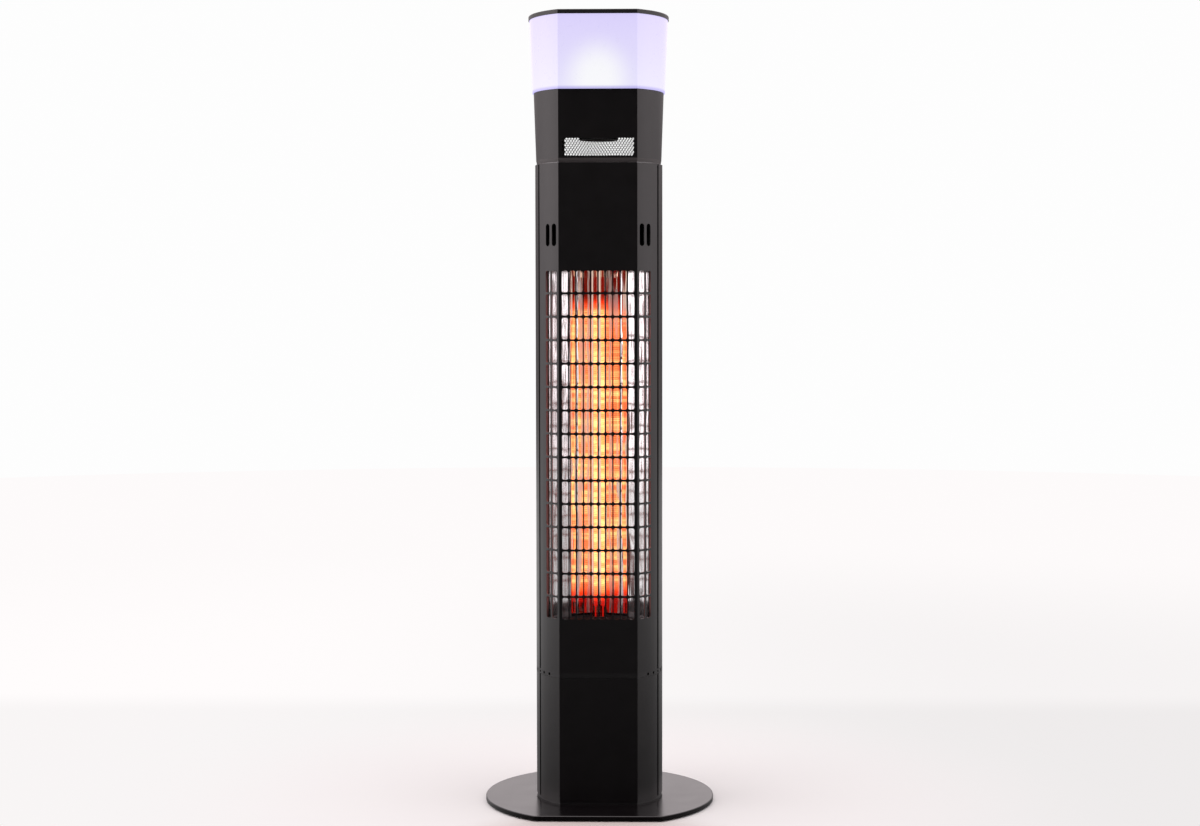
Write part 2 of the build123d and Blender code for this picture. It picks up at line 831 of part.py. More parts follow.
holder_bore = 2 * (tube_radius + thread_gap)
holder_bore_depth = tube_reach + seat_gap

with BuildPart() as lower_tube_holder:
    with BuildSketch(Plane.XY.offset(lower_plate_bottom_z)):
        with Locations((0, tube_y)):
            Rectangle(holder_width, holder_depth)
        with Locations(*tube_spots):
            Circle(element_pin_radius + seat_gap, mode=Mode.SUBTRACT)
    extrude(amount=-holder_height)
    with BuildSketch(Plane.XY.offset(lower_plate_bottom_z)):
        with Locations((0, tube_y)):
            SlotCenterToCenter(tube_spacing, holder_bore)
    extrude(amount=-holder_bore_depth, mode=Mode.SUBTRACT)

with BuildPart() as upper_tube_holder:
    with BuildSketch(Plane.XY.offset(upper_plate_top_z)):
        with Locations((0, tube_y)):
            Rectangle(holder_width, holder_depth)
        with Locations(*tube_spots):
            Circle(element_pin_radius + seat_gap, mode=Mode.SUBTRACT)
    extrude(amount=holder_height)
    with BuildSketch(Plane.XY.offset(upper_plate_top_z)):
        with Locations((0, tube_y)):
            SlotCenterToCenter(tube_spacing, holder_bore)
    extrude(amount=holder_bore_depth, mode=Mode.SUBTRACT)

shield_rear_y = shield_back_y + reflector_sheet / 2

with BuildPart() as thermal_cutout:
    with BuildSketch(facing(180, shield_rear_y, cutout_z)):
        Circle(cutout_radius)
    extrude(amount=cutout_height)
    with BuildSketch(facing(180, shield_rear_y + cutout_height, cutout_z)):
        with GridLocations(cutout_radius, 0, 2, 1):
            Rectangle(element_thickness, element_width)
    extrude(amount=cutout_height)

# ---------------------------------------------------------------- terminal block and tip-over switch

terminal_length = terminal_count * tube_spacing
terminal_x = -tube_spacing / 2
terminal_hole_z = floor_top_z + terminal_height / 3

with BuildPart() as terminal_block:
    with BuildSketch(Plane.XY.offset(floor_top_z)):
        with Locations((terminal_x, terminal_y)):
            Rectangle(terminal_length, terminal_depth)
    extrude(amount=terminal_height)
    with BuildSketch(Plane.XY.offset(floor_top_z + terminal_height)):
        with Locations((terminal_x, terminal_y)):
            with GridLocations(tube_spacing, 0, terminal_count, 1):
                Circle(terminal_depth / 5)
    extrude(amount=-terminal_height / 2, mode=Mode.SUBTRACT)
    with BuildSketch(facing(0, -terminal_y + terminal_depth / 2, terminal_hole_z)):
        with Locations((terminal_x, 0)):
            with GridLocations(tube_spacing, 0, terminal_count, 1):
                Circle(element_lead_radius + 2 * seat_gap)
    extrude(amount=-terminal_depth, mode=Mode.SUBTRACT)


def bend_radius(*runs):
    """The arc that joins straight runs which meet square to each other."""
    return 0.45 * min(runs)


lead_top_z = pin_bottom_z - seat_gap
lead_end_y = terminal_y - terminal_depth / 2 + terminal_depth / 3
lead_bend = bend_radius(lead_top_z - terminal_hole_z, lead_end_y - tube_y)
link_bottom_z = pin_top_z + seat_gap
link_bend = bend_radius(element_link_rise, tube_spacing)
print("bends of the leads", round(lead_bend, 2), round(link_bend, 2))

with BuildPart() as element_leads:
    for x, y in tube_spots:
        with BuildLine() as lead_path:
            FilletPolyline(
                (x, y, lead_top_z),
                (x, y, terminal_hole_z),
                (x, lead_end_y, terminal_hole_z),
                radius=lead_bend,
            )
        with BuildSketch(Plane(lead_path.line @ 0, z_dir=lead_path.line % 0)):
            Circle(element_lead_radius)
        sweep(path=lead_path.line)
    with BuildLine() as link_path:
        FilletPolyline(
            (-tube_spacing / 2, tube_y, link_bottom_z),
            (-tube_spacing / 2, tube_y, link_bottom_z + element_link_rise),
            (tube_spacing / 2, tube_y, link_bottom_z + element_link_rise),
            (tube_spacing / 2, tube_y, link_bottom_z),
            radius=link_bend,
        )
    with BuildSketch(Plane(link_path.line @ 0, z_dir=link_path.line % 0)):
        Circle(element_link_radius)
    sweep(path=link_path.line)

tilt_pivot_z = floor_top_z + tilt_pivot_height
tilt_outer = tilt_cheek_gap / 2 + tilt_cheek_sheet
tilt_cheek_height = tilt_pivot_height + tilt_cheek_depth / 2
tilt_side = Plane(origin=(tilt_x, tilt_y, tilt_pivot_z), x_dir=(0, 1, 0), z_dir=(1, 0, 0))

with BuildPart() as tilt_switch_bracket:
    with BuildSketch(Plane.XY.offset(floor_top_z)):
        with Locations((tilt_x, tilt_y)):
            Rectangle(2 * tilt_outer, tilt_base_length)
    extrude(amount=tilt_cheek_sheet)
    for inner_face in (-tilt_outer, tilt_cheek_gap / 2):
        with BuildSketch(tilt_side.offset(inner_face)):
            with Locations((0, -tilt_pivot_height)):
                Rectangle(tilt_cheek_depth, tilt_cheek_height, align=(Align.CENTER, Align.MIN))
            Circle(tilt_pin_radius + running_gap, mode=Mode.SUBTRACT)
        extrude(amount=tilt_cheek_sheet)

with BuildPart() as tilt_switch_pin:
    with BuildSketch(tilt_side.offset(-tilt_outer - tilt_cheek_sheet)):
        Circle(tilt_pin_radius)
    extrude(amount=2 * (tilt_outer + tilt_cheek_sheet))

with BuildPart() as tilt_pendulum:
    with BuildSketch(tilt_side.offset(-tilt_arm_width / 2)):
        Circle(tilt_arm_width / 2 + tilt_pin_radius)
        with Locations((0, -tilt_bob_drop / 2)):
            Rectangle(tilt_arm_width / 2, tilt_bob_drop)
        Circle(tilt_pin_radius + running_gap, mode=Mode.SUBTRACT)
    extrude(amount=tilt_arm_width)
    with Locations((tilt_x, tilt_y, tilt_pivot_z - tilt_bob_drop)):
        Cylinder(tilt_bob_radius, tilt_bob_height, align=upwards)

# ---------------------------------------------------------------- electronics under the roof

bracket_back_y = bracket_y + bracket_sheet
board_front_y = bracket_back_y + standoff_height
board_back_y = board_front_y + board_thickness

with BuildPart() as electronics_bracket:
    with BuildSketch(facing(180, bracket_y, bracket_bottom_z)):
        Rectangle(bracket_width, bracket_height, align=(Align.CENTER, Align.MIN))
    extrude(amount=bracket_sheet)
    with BuildSketch(Plane.XY.offset(roof_bottom_z)):
        with Locations((0, bracket_y)):
            Rectangle(bracket_width, bracket_flange, align=(Align.CENTER, Align.MIN))
    extrude(amount=-bracket_sheet)
    with BuildSketch(facing(180, bracket_back_y, board_z)):
        with GridLocations(standoff_spacing_x, standoff_spacing_z, 2, 2):
            Circle(standoff_radius)
    extrude(amount=standoff_height)

with BuildPart() as power_board:
    with BuildSketch(facing(180, board_front_y, board_z)):
        Rectangle(board_width, board_height)
    extrude(amount=board_thickness)
    with BuildSketch(facing(180, board_back_y, board_z)):
        with Locations((board_width / 4, board_height / 4)):
            Rectangle(board_width / 4, board_height / 4)
    extrude(amount=relay_height)
    with BuildSketch(facing(180, board_back_y, board_z)):
        with Locations((board_width / 4, -board_height / 5)):
            with GridLocations(relay_width, 0, 2, 1):
                Circle(relay_width / 3)
    extrude(amount=relay_height)

with BuildPart() as relays:
    with BuildSketch(facing(180, board_back_y, board_z)):
        with Locations((-board_width / 4, 0)):
            with GridLocations(0, relay_length, 1, 2):
                Rectangle(relay_length, relay_width)
    extrude(amount=relay_height)

# ---------------------------------------------------------------- control panel on the back

panel_face_y = body_flat + control_thickness
switch_body_width = rocker_width + 2 * switch_wall + 2 * seat_gap
switch_cavity_length = rocker_length + 2 * switch_wall
switch_body_length = switch_cavity_length + 2 * switch_wall
rocker_pivot_y = panel_face_y - switch_wall
button_flange_y = body_flat - seat_gap
button_stem_y = button_flange_y - button_flange_thickness - button_stem_length
tact_switch_y = button_stem_y + tact_switch_height / 2 - running_gap
button_board_y = tact_switch_y - tact_switch_height
button_middle_x = (button_xs[0] + button_xs[-1]) / 2
button_span = button_xs[0] - button_xs[-1]
post_radius = button_stem_radius
post_spots = [((button_xs[0] + button_xs[1]) / 2, 1), ((button_xs[2] + button_xs[3]) / 2, -1)]
board_half_height = control_skirt_height / 2 - control_wall - 2 * seat_gap
post_z = board_half_height - post_radius


def from_behind(y, z=0.0):
    """An upright plane that looks towards +Y; its x runs against X."""
    return facing(180, y, z)


with BuildPart() as control_panel:
    with BuildSketch(from_behind(body_flat, control_z)):
        RectangleRounded(control_width, control_height, control_wall * 2)
    extrude(amount=control_thickness)
    fillet(control_panel.faces().sort_by(Axis.Y)[-1].edges(), control_thickness / 3)
    with BuildSketch(from_behind(body_flat, control_z)):
        Rectangle(control_skirt_width, control_skirt_height)
        offset(amount=-control_wall, kind=Kind.INTERSECTION, mode=Mode.SUBTRACT)
    extrude(amount=-control_skirt_depth)
    with BuildSketch(from_behind(body_flat, control_z)):
        for x, up in post_spots:
            with Locations((-x, up * post_z)):
                Circle(post_radius)
    extrude(amount=button_board_y - body_flat)
    with BuildSketch(from_behind(body_flat, control_z)):
        with Locations((-rocker_x, 0)):
            Rectangle(switch_body_width + 2 * seat_gap, switch_body_length + 2 * seat_gap)
        for x in button_xs:
            with Locations((-x, 0)):
                Circle(button_radius + seat_gap)
    extrude(amount=control_thickness, mode=Mode.SUBTRACT)

with BuildPart() as rocker_housing:
    with BuildSketch(from_behind(panel_face_y, control_z)):
        with Locations((-rocker_x, 0)):
            Rectangle(switch_body_width, switch_body_length)
    extrude(amount=-switch_depth)
    with BuildSketch(from_behind(panel_face_y, control_z)):
        with Locations((-rocker_x, 0)):
            Rectangle(switch_body_width + 2 * switch_wall, switch_body_length + 2 * switch_wall)
    extrude(amount=switch_flange)
    with BuildSketch(from_behind(panel_face_y + switch_flange, control_z)):
        with Locations((-rocker_x, 0)):
            Rectangle(rocker_width + 2 * seat_gap, switch_cavity_length)
    extrude(amount=-switch_cavity_depth, mode=Mode.SUBTRACT)
    with BuildSketch(from_behind(panel_face_y - switch_depth, control_z)):
        with Locations((-rocker_x, 0)):
            with GridLocations(0, switch_body_length / 3, 1, 3):
                Rectangle(element_width, element_thickness)
    extrude(amount=-tact_switch_size)
    with BuildSketch(Plane(origin=(rocker_x, rocker_pivot_y, control_z), z_dir=(1, 0, 0))):
        Circle(rocker_pin_radius + running_gap)
    extrude(amount=switch_body_width, both=True, mode=Mode.SUBTRACT)

turn = radians(rocker_tilt)
rocker_side = Plane(
    origin=(rocker_x, rocker_pivot_y, control_z),
    x_dir=(0, cos(turn), sin(turn)),
    z_dir=(1, 0, 0),
)
rocker_half = rocker_length / 2

with BuildPart() as power_rocker:
    with BuildSketch(rocker_side.offset(-rocker_width / 2)):
        Polygon(
            (-rocker_rise, -rocker_half + switch_wall),
            (rocker_rise + switch_wall, -rocker_half),
            (rocker_rise, 0),
            (rocker_rise + switch_wall, rocker_half),
            (-rocker_rise, rocker_half - switch_wall),
        )
    extrude(amount=rocker_width)
    with BuildSketch(rocker_side.offset(-rocker_width / 2 - switch_wall)):
        Circle(rocker_pin_radius)
    extrude(amount=rocker_width + 2 * switch_wall)


def push_button(x):
    """A round cap with a flange behind the panel and a stem down to its switch."""
    with BuildPart() as button:
        with BuildSketch(from_behind(button_flange_y, control_z)):
            with Locations((-x, 0)):
                Circle(button_radius)
        extrude(amount=seat_gap + control_thickness + button_proud)
        fillet(button.edges().sort_by(Axis.Y)[-1], button_proud / 2)
        with BuildSketch(from_behind(button_flange_y, control_z)):
            with Locations((-x, 0)):
                Circle(button_flange_radius)
        extrude(amount=-button_flange_thickness)
        with BuildSketch(from_behind(button_flange_y, control_z)):
            with Locations((-x, 0)):
                Circle(button_stem_radius)
        extrude(amount=-button_flange_thickness - button_stem_length)
    return button


buttons = {name: push_button(x) for name, x in zip(button_names, button_xs)}

with BuildPart() as button_board:
    with BuildSketch(from_behind(button_board_y, control_z)):
        with Locations((-button_middle_x, 0)):
            Rectangle(button_span + 2 * button_radius, 2 * board_half_height)
    extrude(amount=-board_thickness)
    with BuildSketch(from_behind(button_board_y, control_z)):
        for x in button_xs:
            with Locations((-x, 0)):
                Rectangle(tact_switch_size, tact_switch_size)
                Circle(button_stem_radius + thread_gap, mode=Mode.SUBTRACT)
    extrude(amount=tact_switch_height)

# ---------------------------------------------------------------- head

head_flat_bottom = flat_of(head_bottom_radius)
head_flat_top = flat_of(head_top_radius)
head_lean = atan2(head_flat_top - head_flat_bottom, head_height)


def head_flat_at(z):
    """Distance of the head's sloping flats from the axis at a height."""
    share = (z - head_bottom_z) / head_height
    return head_flat_bottom + share * (head_flat_top - head_flat_bottom)


def wall_plane(side, z):
    """The sloping outer face of the head at the front (-1) or the back (1), centred at a height."""
    return Plane(
        origin=(0, side * head_flat_at(z), z),
        x_dir=(-side, 0, 0),
        z_dir=(0, side * cos(head_lean), -sin(head_lean)),
    )


with BuildPart() as head_base_ring:
    with BuildSketch(Plane.XY.offset(body_top_z)):
        column_outline(head_neck_radius, flat_of(head_neck_radius))
    extrude(amount=head_neck_height)
    with BuildSketch(Plane.XY.offset(bevel_bottom_z)):
        column_outline(head_bevel_radius, flat_of(head_bevel_radius))
    with BuildSketch(Plane.XY.offset(head_bottom_z)):
        column_outline(head_bottom_radius, head_flat_bottom)
    loft(ruled=True)
    with BuildSketch(Plane.XY.offset(head_bottom_z)):
        column_outline(
            head_bottom_radius - head_wall - seat_gap,
            head_flat_bottom - head_wall - seat_gap,
        )
        Rectangle(
            rear_window_width + 2 * (mesh_border + seat_gap),
            2 * head_flat_bottom,
            mode=Mode.SUBTRACT,
        )
    extrude(amount=head_ring_lip)
    with BuildSketch(Plane.XY.offset(body_top_z)):
        column_outline(head_neck_radius, flat_of(head_neck_radius))
        offset(amount=-head_ring_width, kind=Kind.INTERSECTION)
    extrude(
        amount=head_neck_height + head_bevel_height + head_ring_lip,
        mode=Mode.SUBTRACT,
    )
    with Locations((0, 0, body_top_z)):
        with Locations(*head_bolt_spots):
            Cylinder(
                head_bolt_radius + thread_gap,
                head_neck_height + head_bevel_height,
                align=upwards,
                mode=Mode.SUBTRACT,
            )

with BuildPart() as head_bolts:
    with Locations((0, 0, roof_bottom_z)):
        with Locations(*head_bolt_spots):
            Cylinder(head_bolt_head_radius, head_bolt_head_height, align=downwards)
            Cylinder(
                head_bolt_radius,
                chassis_sheet + head_neck_height + head_bevel_height - seat_gap,
                align=upwards,
            )

with BuildPart() as head_shell:
    with BuildSketch(Plane.XY.offset(head_bottom_z)):
        column_outline(head_bottom_radius, head_flat_bottom)
    with BuildSketch(Plane.XY.offset(head_top_z)):
        column_outline(head_top_radius, head_flat_top)
    loft(ruled=True)
    with BuildSketch(Plane.XY.offset(head_bottom_z)):
        column_outline(head_bottom_radius - head_wall, head_flat_bottom - head_wall)
    with BuildSketch(Plane.XY.offset(head_top_z)):
        column_outline(head_top_radius - head_wall, head_flat_top - head_wall)
    loft(ruled=True, mode=Mode.SUBTRACT)
    with BuildSketch(wall_plane(-1, front_window_z).offset(head_wall)):
        RectangleRounded(front_window_width, front_window_height, window_corner)
    extrude(amount=-4 * head_wall, mode=Mode.SUBTRACT)
    with BuildSketch(wall_plane(1, rear_window_z).offset(head_wall)):
        RectangleRounded(rear_window_width, rear_window_height, window_corner)
    extrude(amount=-4 * head_wall, mode=Mode.SUBTRACT)


def speaker_mesh(side, z, width, height, columns, rows, pitch_x, pitch_z):
    """A sheet of six-sided holes in staggered rows, behind a window of the head."""
    with BuildPart() as mesh:
        with BuildSketch(wall_plane(side, z).offset(-head_wall - seat_gap)):
            Rectangle(width + 2 * mesh_border, height + 2 * mesh_border)
            for row in range(rows):
                shift = (row % 2 - 0.5) * pitch_x / 2
                with Locations((shift, (row - (rows - 1) / 2) * pitch_z)):
                    with GridLocations(pitch_x, 0, columns, 1):
                        RegularPolygon(
                            (pitch_x - mesh_bar) / 2,
                            6,
                            major_radius=False,
                            rotation=30,
                            mode=Mode.SUBTRACT,
                        )
        extrude(amount=-mesh_sheet)
    return mesh


front_speaker_mesh = speaker_mesh(
    -1,
    front_window_z,
    front_window_width,
    front_window_height,
    front_mesh_columns,
    front_mesh_rows,
    front_mesh_pitch_x,
    front_mesh_pitch_z,
)
rear_speaker_mesh = speaker_mesh(
    1,
    rear_window_z,
    rear_window_width,
    rear_window_height,
    rear_mesh_columns,
    rear_mesh_rows,
    rear_mesh_pitch_x,
    rear_mesh_pitch_z,
)

# ---------------------------------------------------------------- loudspeaker

speaker_face_z = speaker_bottom_z + speaker_flange_thickness
speaker_back_z = speaker_face_z + speaker_frame_depth

with BuildPart() as speaker_can:
    with BuildSketch(Plane.XY.offset(speaker_face_z)):
        Circle(speaker_radius)
        Circle(speaker_radius - speaker_can_wall, mode=Mode.SUBTRACT)
    extrude(amount=head_top_z - speaker_face_z)
    with BuildSketch(Plane.XY.offset(head_top_z)):
        Circle(speaker_can_flange_radius)
    extrude(amount=-speaker_can_wall)

with BuildPart() as speaker_basket:
    with BuildSketch(Plane.XY.offset(speaker_bottom_z)):
        Circle(speaker_radius)
        Circle(speaker_opening_radius, mode=Mode.SUBTRACT)
    extrude(amount=speaker_flange_thickness)
    with BuildSketch(Plane.XZ):
        Polygon(
            (speaker_opening_radius, speaker_bottom_z),
            (speaker_opening_radius + speaker_flange_thickness, speaker_bottom_z),
            (speaker_neck_radius + speaker_flange_thickness, speaker_back_z),
            (speaker_neck_radius / 2, speaker_back_z),
            (speaker_neck_radius / 2, speaker_back_z - speaker_flange_thickness),
            (speaker_neck_radius, speaker_back_z - speaker_flange_thickness),
        )
    revolve(axis=Axis.Z)

with BuildPart() as speaker_magnet:
    with BuildSketch(Plane.XY.offset(speaker_back_z)):
        Circle(speaker_magnet_radius)
    extrude(amount=speaker_magnet_height)

cone_outer = speaker_opening_radius - 3 * seat_gap
cone_neck = speaker_neck_radius - speaker_flange_thickness
cone_neck_z = speaker_back_z - 3 * speaker_flange_thickness

with BuildPart() as speaker_cone:
    with BuildSketch(Plane.XZ):
        Polygon(
            (0, cone_neck_z - cone_neck / 2),
            (cone_neck, cone_neck_z - speaker_flange_thickness),
            (cone_outer, speaker_bottom_z),
            (cone_outer, speaker_bottom_z + mesh_sheet),
            (cone_neck, cone_neck_z),
            (0, cone_neck_z),
        )
    revolve(axis=Axis.Z)

# ---------------------------------------------------------------- lamp and cap

lamp_flat_bottom = flat_of(lamp_bottom_radius)
lamp_flat_top = flat_of(lamp_top_radius)
tray_inset = lamp_wall + seat_gap
tray_skirt_inset = head_wall + seat_gap
led_board_z = head_top_z + tray_sheet
led_z = led_board_z + led_board_thickness


def lamp_flat(z):
    """Distance of the lamp's flats from the axis at a height."""
    share = (z - head_top_z) / lamp_height
    return lamp_flat_bottom + share * (lamp_flat_top - lamp_flat_bottom)


skirt_z = head_top_z - tray_skirt_depth
skirt_radius = head_top_radius - tray_skirt_inset - tray_skirt_depth * sin(head_lean)
skirt_flat = head_flat_top - tray_skirt_inset - tray_skirt_depth * sin(head_lean)

with BuildPart() as lamp_tray:
    with BuildSketch(Plane.XY.offset(head_top_z)):
        column_outline(lamp_bottom_radius - tray_inset, lamp_flat_bottom - tray_inset)
        with Locations((0, led_board_radius + led_size)):
            Circle(led_size / 2, mode=Mode.SUBTRACT)
    extrude(amount=tray_sheet)
    with BuildSketch(Plane.XY.offset(skirt_z)):
        column_outline(skirt_radius, skirt_flat)
        offset(amount=-tray_sheet, kind=Kind.INTERSECTION, mode=Mode.SUBTRACT)
    extrude(amount=tray_skirt_depth)

with BuildPart() as led_board:
    with BuildSketch(Plane.XY.offset(led_board_z)):
        Circle(led_board_radius)
    extrude(amount=led_board_thickness)

with BuildPart() as leds:
    with BuildSketch(Plane.XY.offset(led_z)):
        with PolarLocations(led_circle, led_count):
            Rectangle(led_size, led_size)
    extrude(amount=led_height)

with BuildPart() as lamp_diffuser:
    with BuildSketch(Plane.XY.offset(head_top_z)):
        column_outline(lamp_bottom_radius, lamp_flat_bottom)
    with BuildSketch(Plane.XY.offset(lamp_top_z)):
        column_outline(lamp_top_radius, lamp_flat_top)
    loft(ruled=True)
    with BuildSketch(Plane.XY.offset(head_top_z)):
        column_outline(lamp_bottom_radius - lamp_wall, lamp_flat_bottom - lamp_wall)
    with BuildSketch(Plane.XY.offset(lamp_top_z)):
        column_outline(lamp_top_radius - lamp_wall, lamp_flat_top - lamp_wall)
    loft(ruled=True, mode=Mode.SUBTRACT)

cap_skirt_z = lamp_top_z - cap_skirt_depth

with BuildPart() as top_cap:
    with BuildSketch(Plane.XY.offset(lamp_top_z)):
        column_outline(cap_radius, flat_of(cap_radius))
    extrude(amount=cap_thickness)
    fillet(top_cap.faces().sort_by(Axis.Z)[-1].edges(), cap_edge_round)
    with BuildSketch(Plane.XY.offset(cap_skirt_z)):
        column_outline(lamp_radius(cap_skirt_z) - tray_inset, lamp_flat(cap_skirt_z) - tray_inset)
        offset(amount=-cap_skirt_wall, kind=Kind.INTERSECTION, mode=Mode.SUBTRACT)
    extrude(amount=cap_skirt_depth)

# ---------------------------------------------------------------- write every piece

pieces = {
    "base_feet": base_feet,
    "base_plate": base_plate,
    "base_screws": base_screws,
    "foot_frame": foot_frame,
    "foot_trim_ring": foot_trim_ring,
    "foot_front_panel": foot_front_panel,
    "foot_rear_panel": foot_rear_panel,
    "foot_panel_screws": foot_panel_screws,
    "cable_gland": cable_gland,
    "gland_lock_nut": gland_lock_nut,
    "gland_dome_nut": gland_dome_nut,
    "vent_ring": vent_ring,
    "joint_bolts": joint_bolts,
    "joint_nuts": joint_nuts,
    "chassis_base": chassis_base,
    "side_rail_left": side_rail_left,
    "side_rail_right": side_rail_right,
    "chassis_top": chassis_top,
    "grille_panel": grille_panel,
    "rear_panel": rear_panel,
    "rear_panel_screws": rear_panel_screws,
    "reflector": reflector,
    "heat_shield": heat_shield,
    "reflector_bottom_plate": reflector_bottom_plate,
    "reflector_top_plate": reflector_top_plate,
    "quartz_tubes": quartz_tubes,
    "heating_elements": heating_elements,
    "lower_tube_holder": lower_tube_holder,
    "upper_tube_holder": upper_tube_holder,
    "thermal_cutout": thermal_cutout,
    "element_leads": element_leads,
    "terminal_block": terminal_block,
    "tilt_switch_bracket": tilt_switch_bracket,
    "tilt_switch_pin": tilt_switch_pin,
    "tilt_pendulum": tilt_pendulum,
    "electronics_bracket": electronics_bracket,
    "power_board": power_board,
    "relays": relays,
    "control_panel": control_panel,
    "rocker_housing": rocker_housing,
    "power_rocker": power_rocker,
    **buttons,
    "button_board": button_board,
    "head_base_ring": head_base_ring,
    "head_bolts": head_bolts,
    "head_shell": head_shell,
    "front_speaker_mesh": front_speaker_mesh,
    "rear_speaker_mesh": rear_speaker_mesh,
    "speaker_can": speaker_can,
    "speaker_basket": speaker_basket,
    "speaker_magnet": speaker_magnet,
    "speaker_cone": speaker_cone,
    "lamp_tray": lamp_tray,
    "led_board": led_board,
    "leds": leds,
    "lamp_diffuser": lamp_diffuser,
    "top_cap": top_cap,
}

os.makedirs("parts", exist_ok=True)
for name, piece in pieces.items():
    piece.part.label = name
    export_step(piece.part, f"parts/{name}.step")
print(len(pieces), "pieces, overall height", round(overall_height, 3))
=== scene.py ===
# %% [markdown]
# # Infrared patio heater tower: the looks
#
# The shape of the heater is already made in CAD. This lesson dresses it: a camera, a plain studio,
# one procedural material for each finish, and a few pieces that are easier to make here, such as
# the wound heating ribbons inside the quartz tubes. All sizes are in metres, +Z is up and the
# grille faces -Y.

import json
import math

import bpy
from mathutils import Matrix, Vector


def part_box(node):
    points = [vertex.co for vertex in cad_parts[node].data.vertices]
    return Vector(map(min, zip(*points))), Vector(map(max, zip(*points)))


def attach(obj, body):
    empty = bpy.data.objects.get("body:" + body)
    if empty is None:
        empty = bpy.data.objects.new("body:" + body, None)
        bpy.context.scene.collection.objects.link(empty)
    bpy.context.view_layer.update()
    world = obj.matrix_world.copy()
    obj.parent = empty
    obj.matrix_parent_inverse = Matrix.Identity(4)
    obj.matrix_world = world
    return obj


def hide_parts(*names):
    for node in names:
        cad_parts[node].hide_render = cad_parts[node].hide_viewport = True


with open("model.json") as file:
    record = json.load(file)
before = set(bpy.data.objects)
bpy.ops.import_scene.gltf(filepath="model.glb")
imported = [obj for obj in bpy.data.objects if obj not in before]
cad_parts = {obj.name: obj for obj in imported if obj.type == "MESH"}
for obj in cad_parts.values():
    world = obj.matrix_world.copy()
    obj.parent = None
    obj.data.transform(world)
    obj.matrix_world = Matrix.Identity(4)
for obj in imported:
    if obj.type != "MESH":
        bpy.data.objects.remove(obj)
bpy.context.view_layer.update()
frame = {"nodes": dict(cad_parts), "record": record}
nodes = frame["nodes"]

# %% [markdown]
# ## Small helpers
#
# Colours are written as they look in a picture (sRGB hex). Blender works in linear light, so every
# colour goes through one function. One more function adds a shader node and wires its inputs, and a
# third joins several gradients into one value.

# %% Helpers


def colour(hex_code):
    """Linear colour, with alpha, of an sRGB hex code such as 'C0A080'."""
    shares = [int(hex_code[i : i + 2], 16) / 255 for i in (0, 2, 4)]
    linear = [s / 12.92 if s <= 0.04045 else ((s + 0.055) / 1.055) ** 2.4 for s in shares]
    return (*linear, 1.0)


def wire(tree, node, inputs):
    """Sets inputs of a node. Each is a value, a socket, or a node that gives its first output."""
    for name, value in inputs.items():
        if isinstance(value, bpy.types.Node):
            value = value.outputs[0]
        if isinstance(value, bpy.types.NodeSocket):
            tree.links.new(value, node.inputs[name])
        else:
            node.inputs[name].default_value = value


def add_node(tree, kind, inputs=None, **settings):
    """Adds a shader node with its settings, and wires its inputs."""
    node = tree.nodes.new(kind)
    for name, value in settings.items():
        setattr(node, name, value)
    wire(tree, node, inputs or {})
    return node


def graded(tree, operation, rows, curve="SMOOTHSTEP"):
    """Joins gradients into one value. A row is a value, its two ends, and the level at each end."""
    total = None
    for value, start, end, start_level, end_level in rows:
        gradient = add_node(
            tree,
            "ShaderNodeMapRange",
            {
                "Value": value,
                "From Min": start,
                "From Max": end,
                "To Min": start_level,
                "To Max": end_level,
            },
            interpolation_type=curve,
        )
        if total is None:
            total = gradient
        else:
            total = add_node(tree, "ShaderNodeMath", {0: total, 1: gradient}, operation=operation)
    return total


def bare_tree(owner):
    """The emptied node tree of a material or a world."""
    owner.use_nodes = True
    owner.node_tree.nodes.clear()
    return owner.node_tree


def new_finish(name, tints, roughness, metallic, grain, patch_mm, stretch=1.0, sockets=None):
    """A Principled material with a fine grain and slow patches.

    The grain (its size in mm, its depth in mm, its strength) bumps the surface. Patches of
    patch_mm take the tint and the roughness from one end to the other. A stretch below 1 draws
    both out along Z, as rolling and drawing do.
    """
    material = bpy.data.materials.new(name)
    material.use_nodes = True
    tree = material.node_tree
    shader = tree.nodes["Principled BSDF"]
    place = add_node(tree, "ShaderNodeTexCoord").outputs["Object"]
    place = add_node(tree, "ShaderNodeMapping", {"Vector": place, "Scale": (1.0, 1.0, stretch)})
    patches = add_node(
        tree, "ShaderNodeTexNoise", {"Vector": place, "Scale": 1000.0 / patch_mm, "Detail": 2.0}
    )
    tint = add_node(
        tree,
        "ShaderNodeMix",
        {0: patches, 6: colour(tints[0]), 7: colour(tints[1])},
        data_type="RGBA",
    )
    grain_mm, depth_mm, strength = grain
    grains = add_node(
        tree, "ShaderNodeTexNoise", {"Vector": place, "Scale": 1000.0 / grain_mm, "Detail": 3.0}
    )
    bump = add_node(
        tree,
        "ShaderNodeBump",
        {"Height": grains, "Distance": depth_mm / 1000.0, "Strength": strength},
    )
    wire(
        tree,
        shader,
        {
            "Base Color": tint.outputs[2],
            "Metallic": metallic,
            "Roughness": graded(tree, "ADD", [(patches, 0.0, 1.0, *roughness)], "LINEAR"),
            "Normal": bump,
        },
    )
    wire(tree, shader, sockets or {})
    return material


# %% [markdown]
# ## Camera
#
# The camera stands 2.87 m in front of the heater, 0.70 m up, turned a little to the right and
# tilted 3 degrees down. The long lens keeps the column's sides nearly straight.

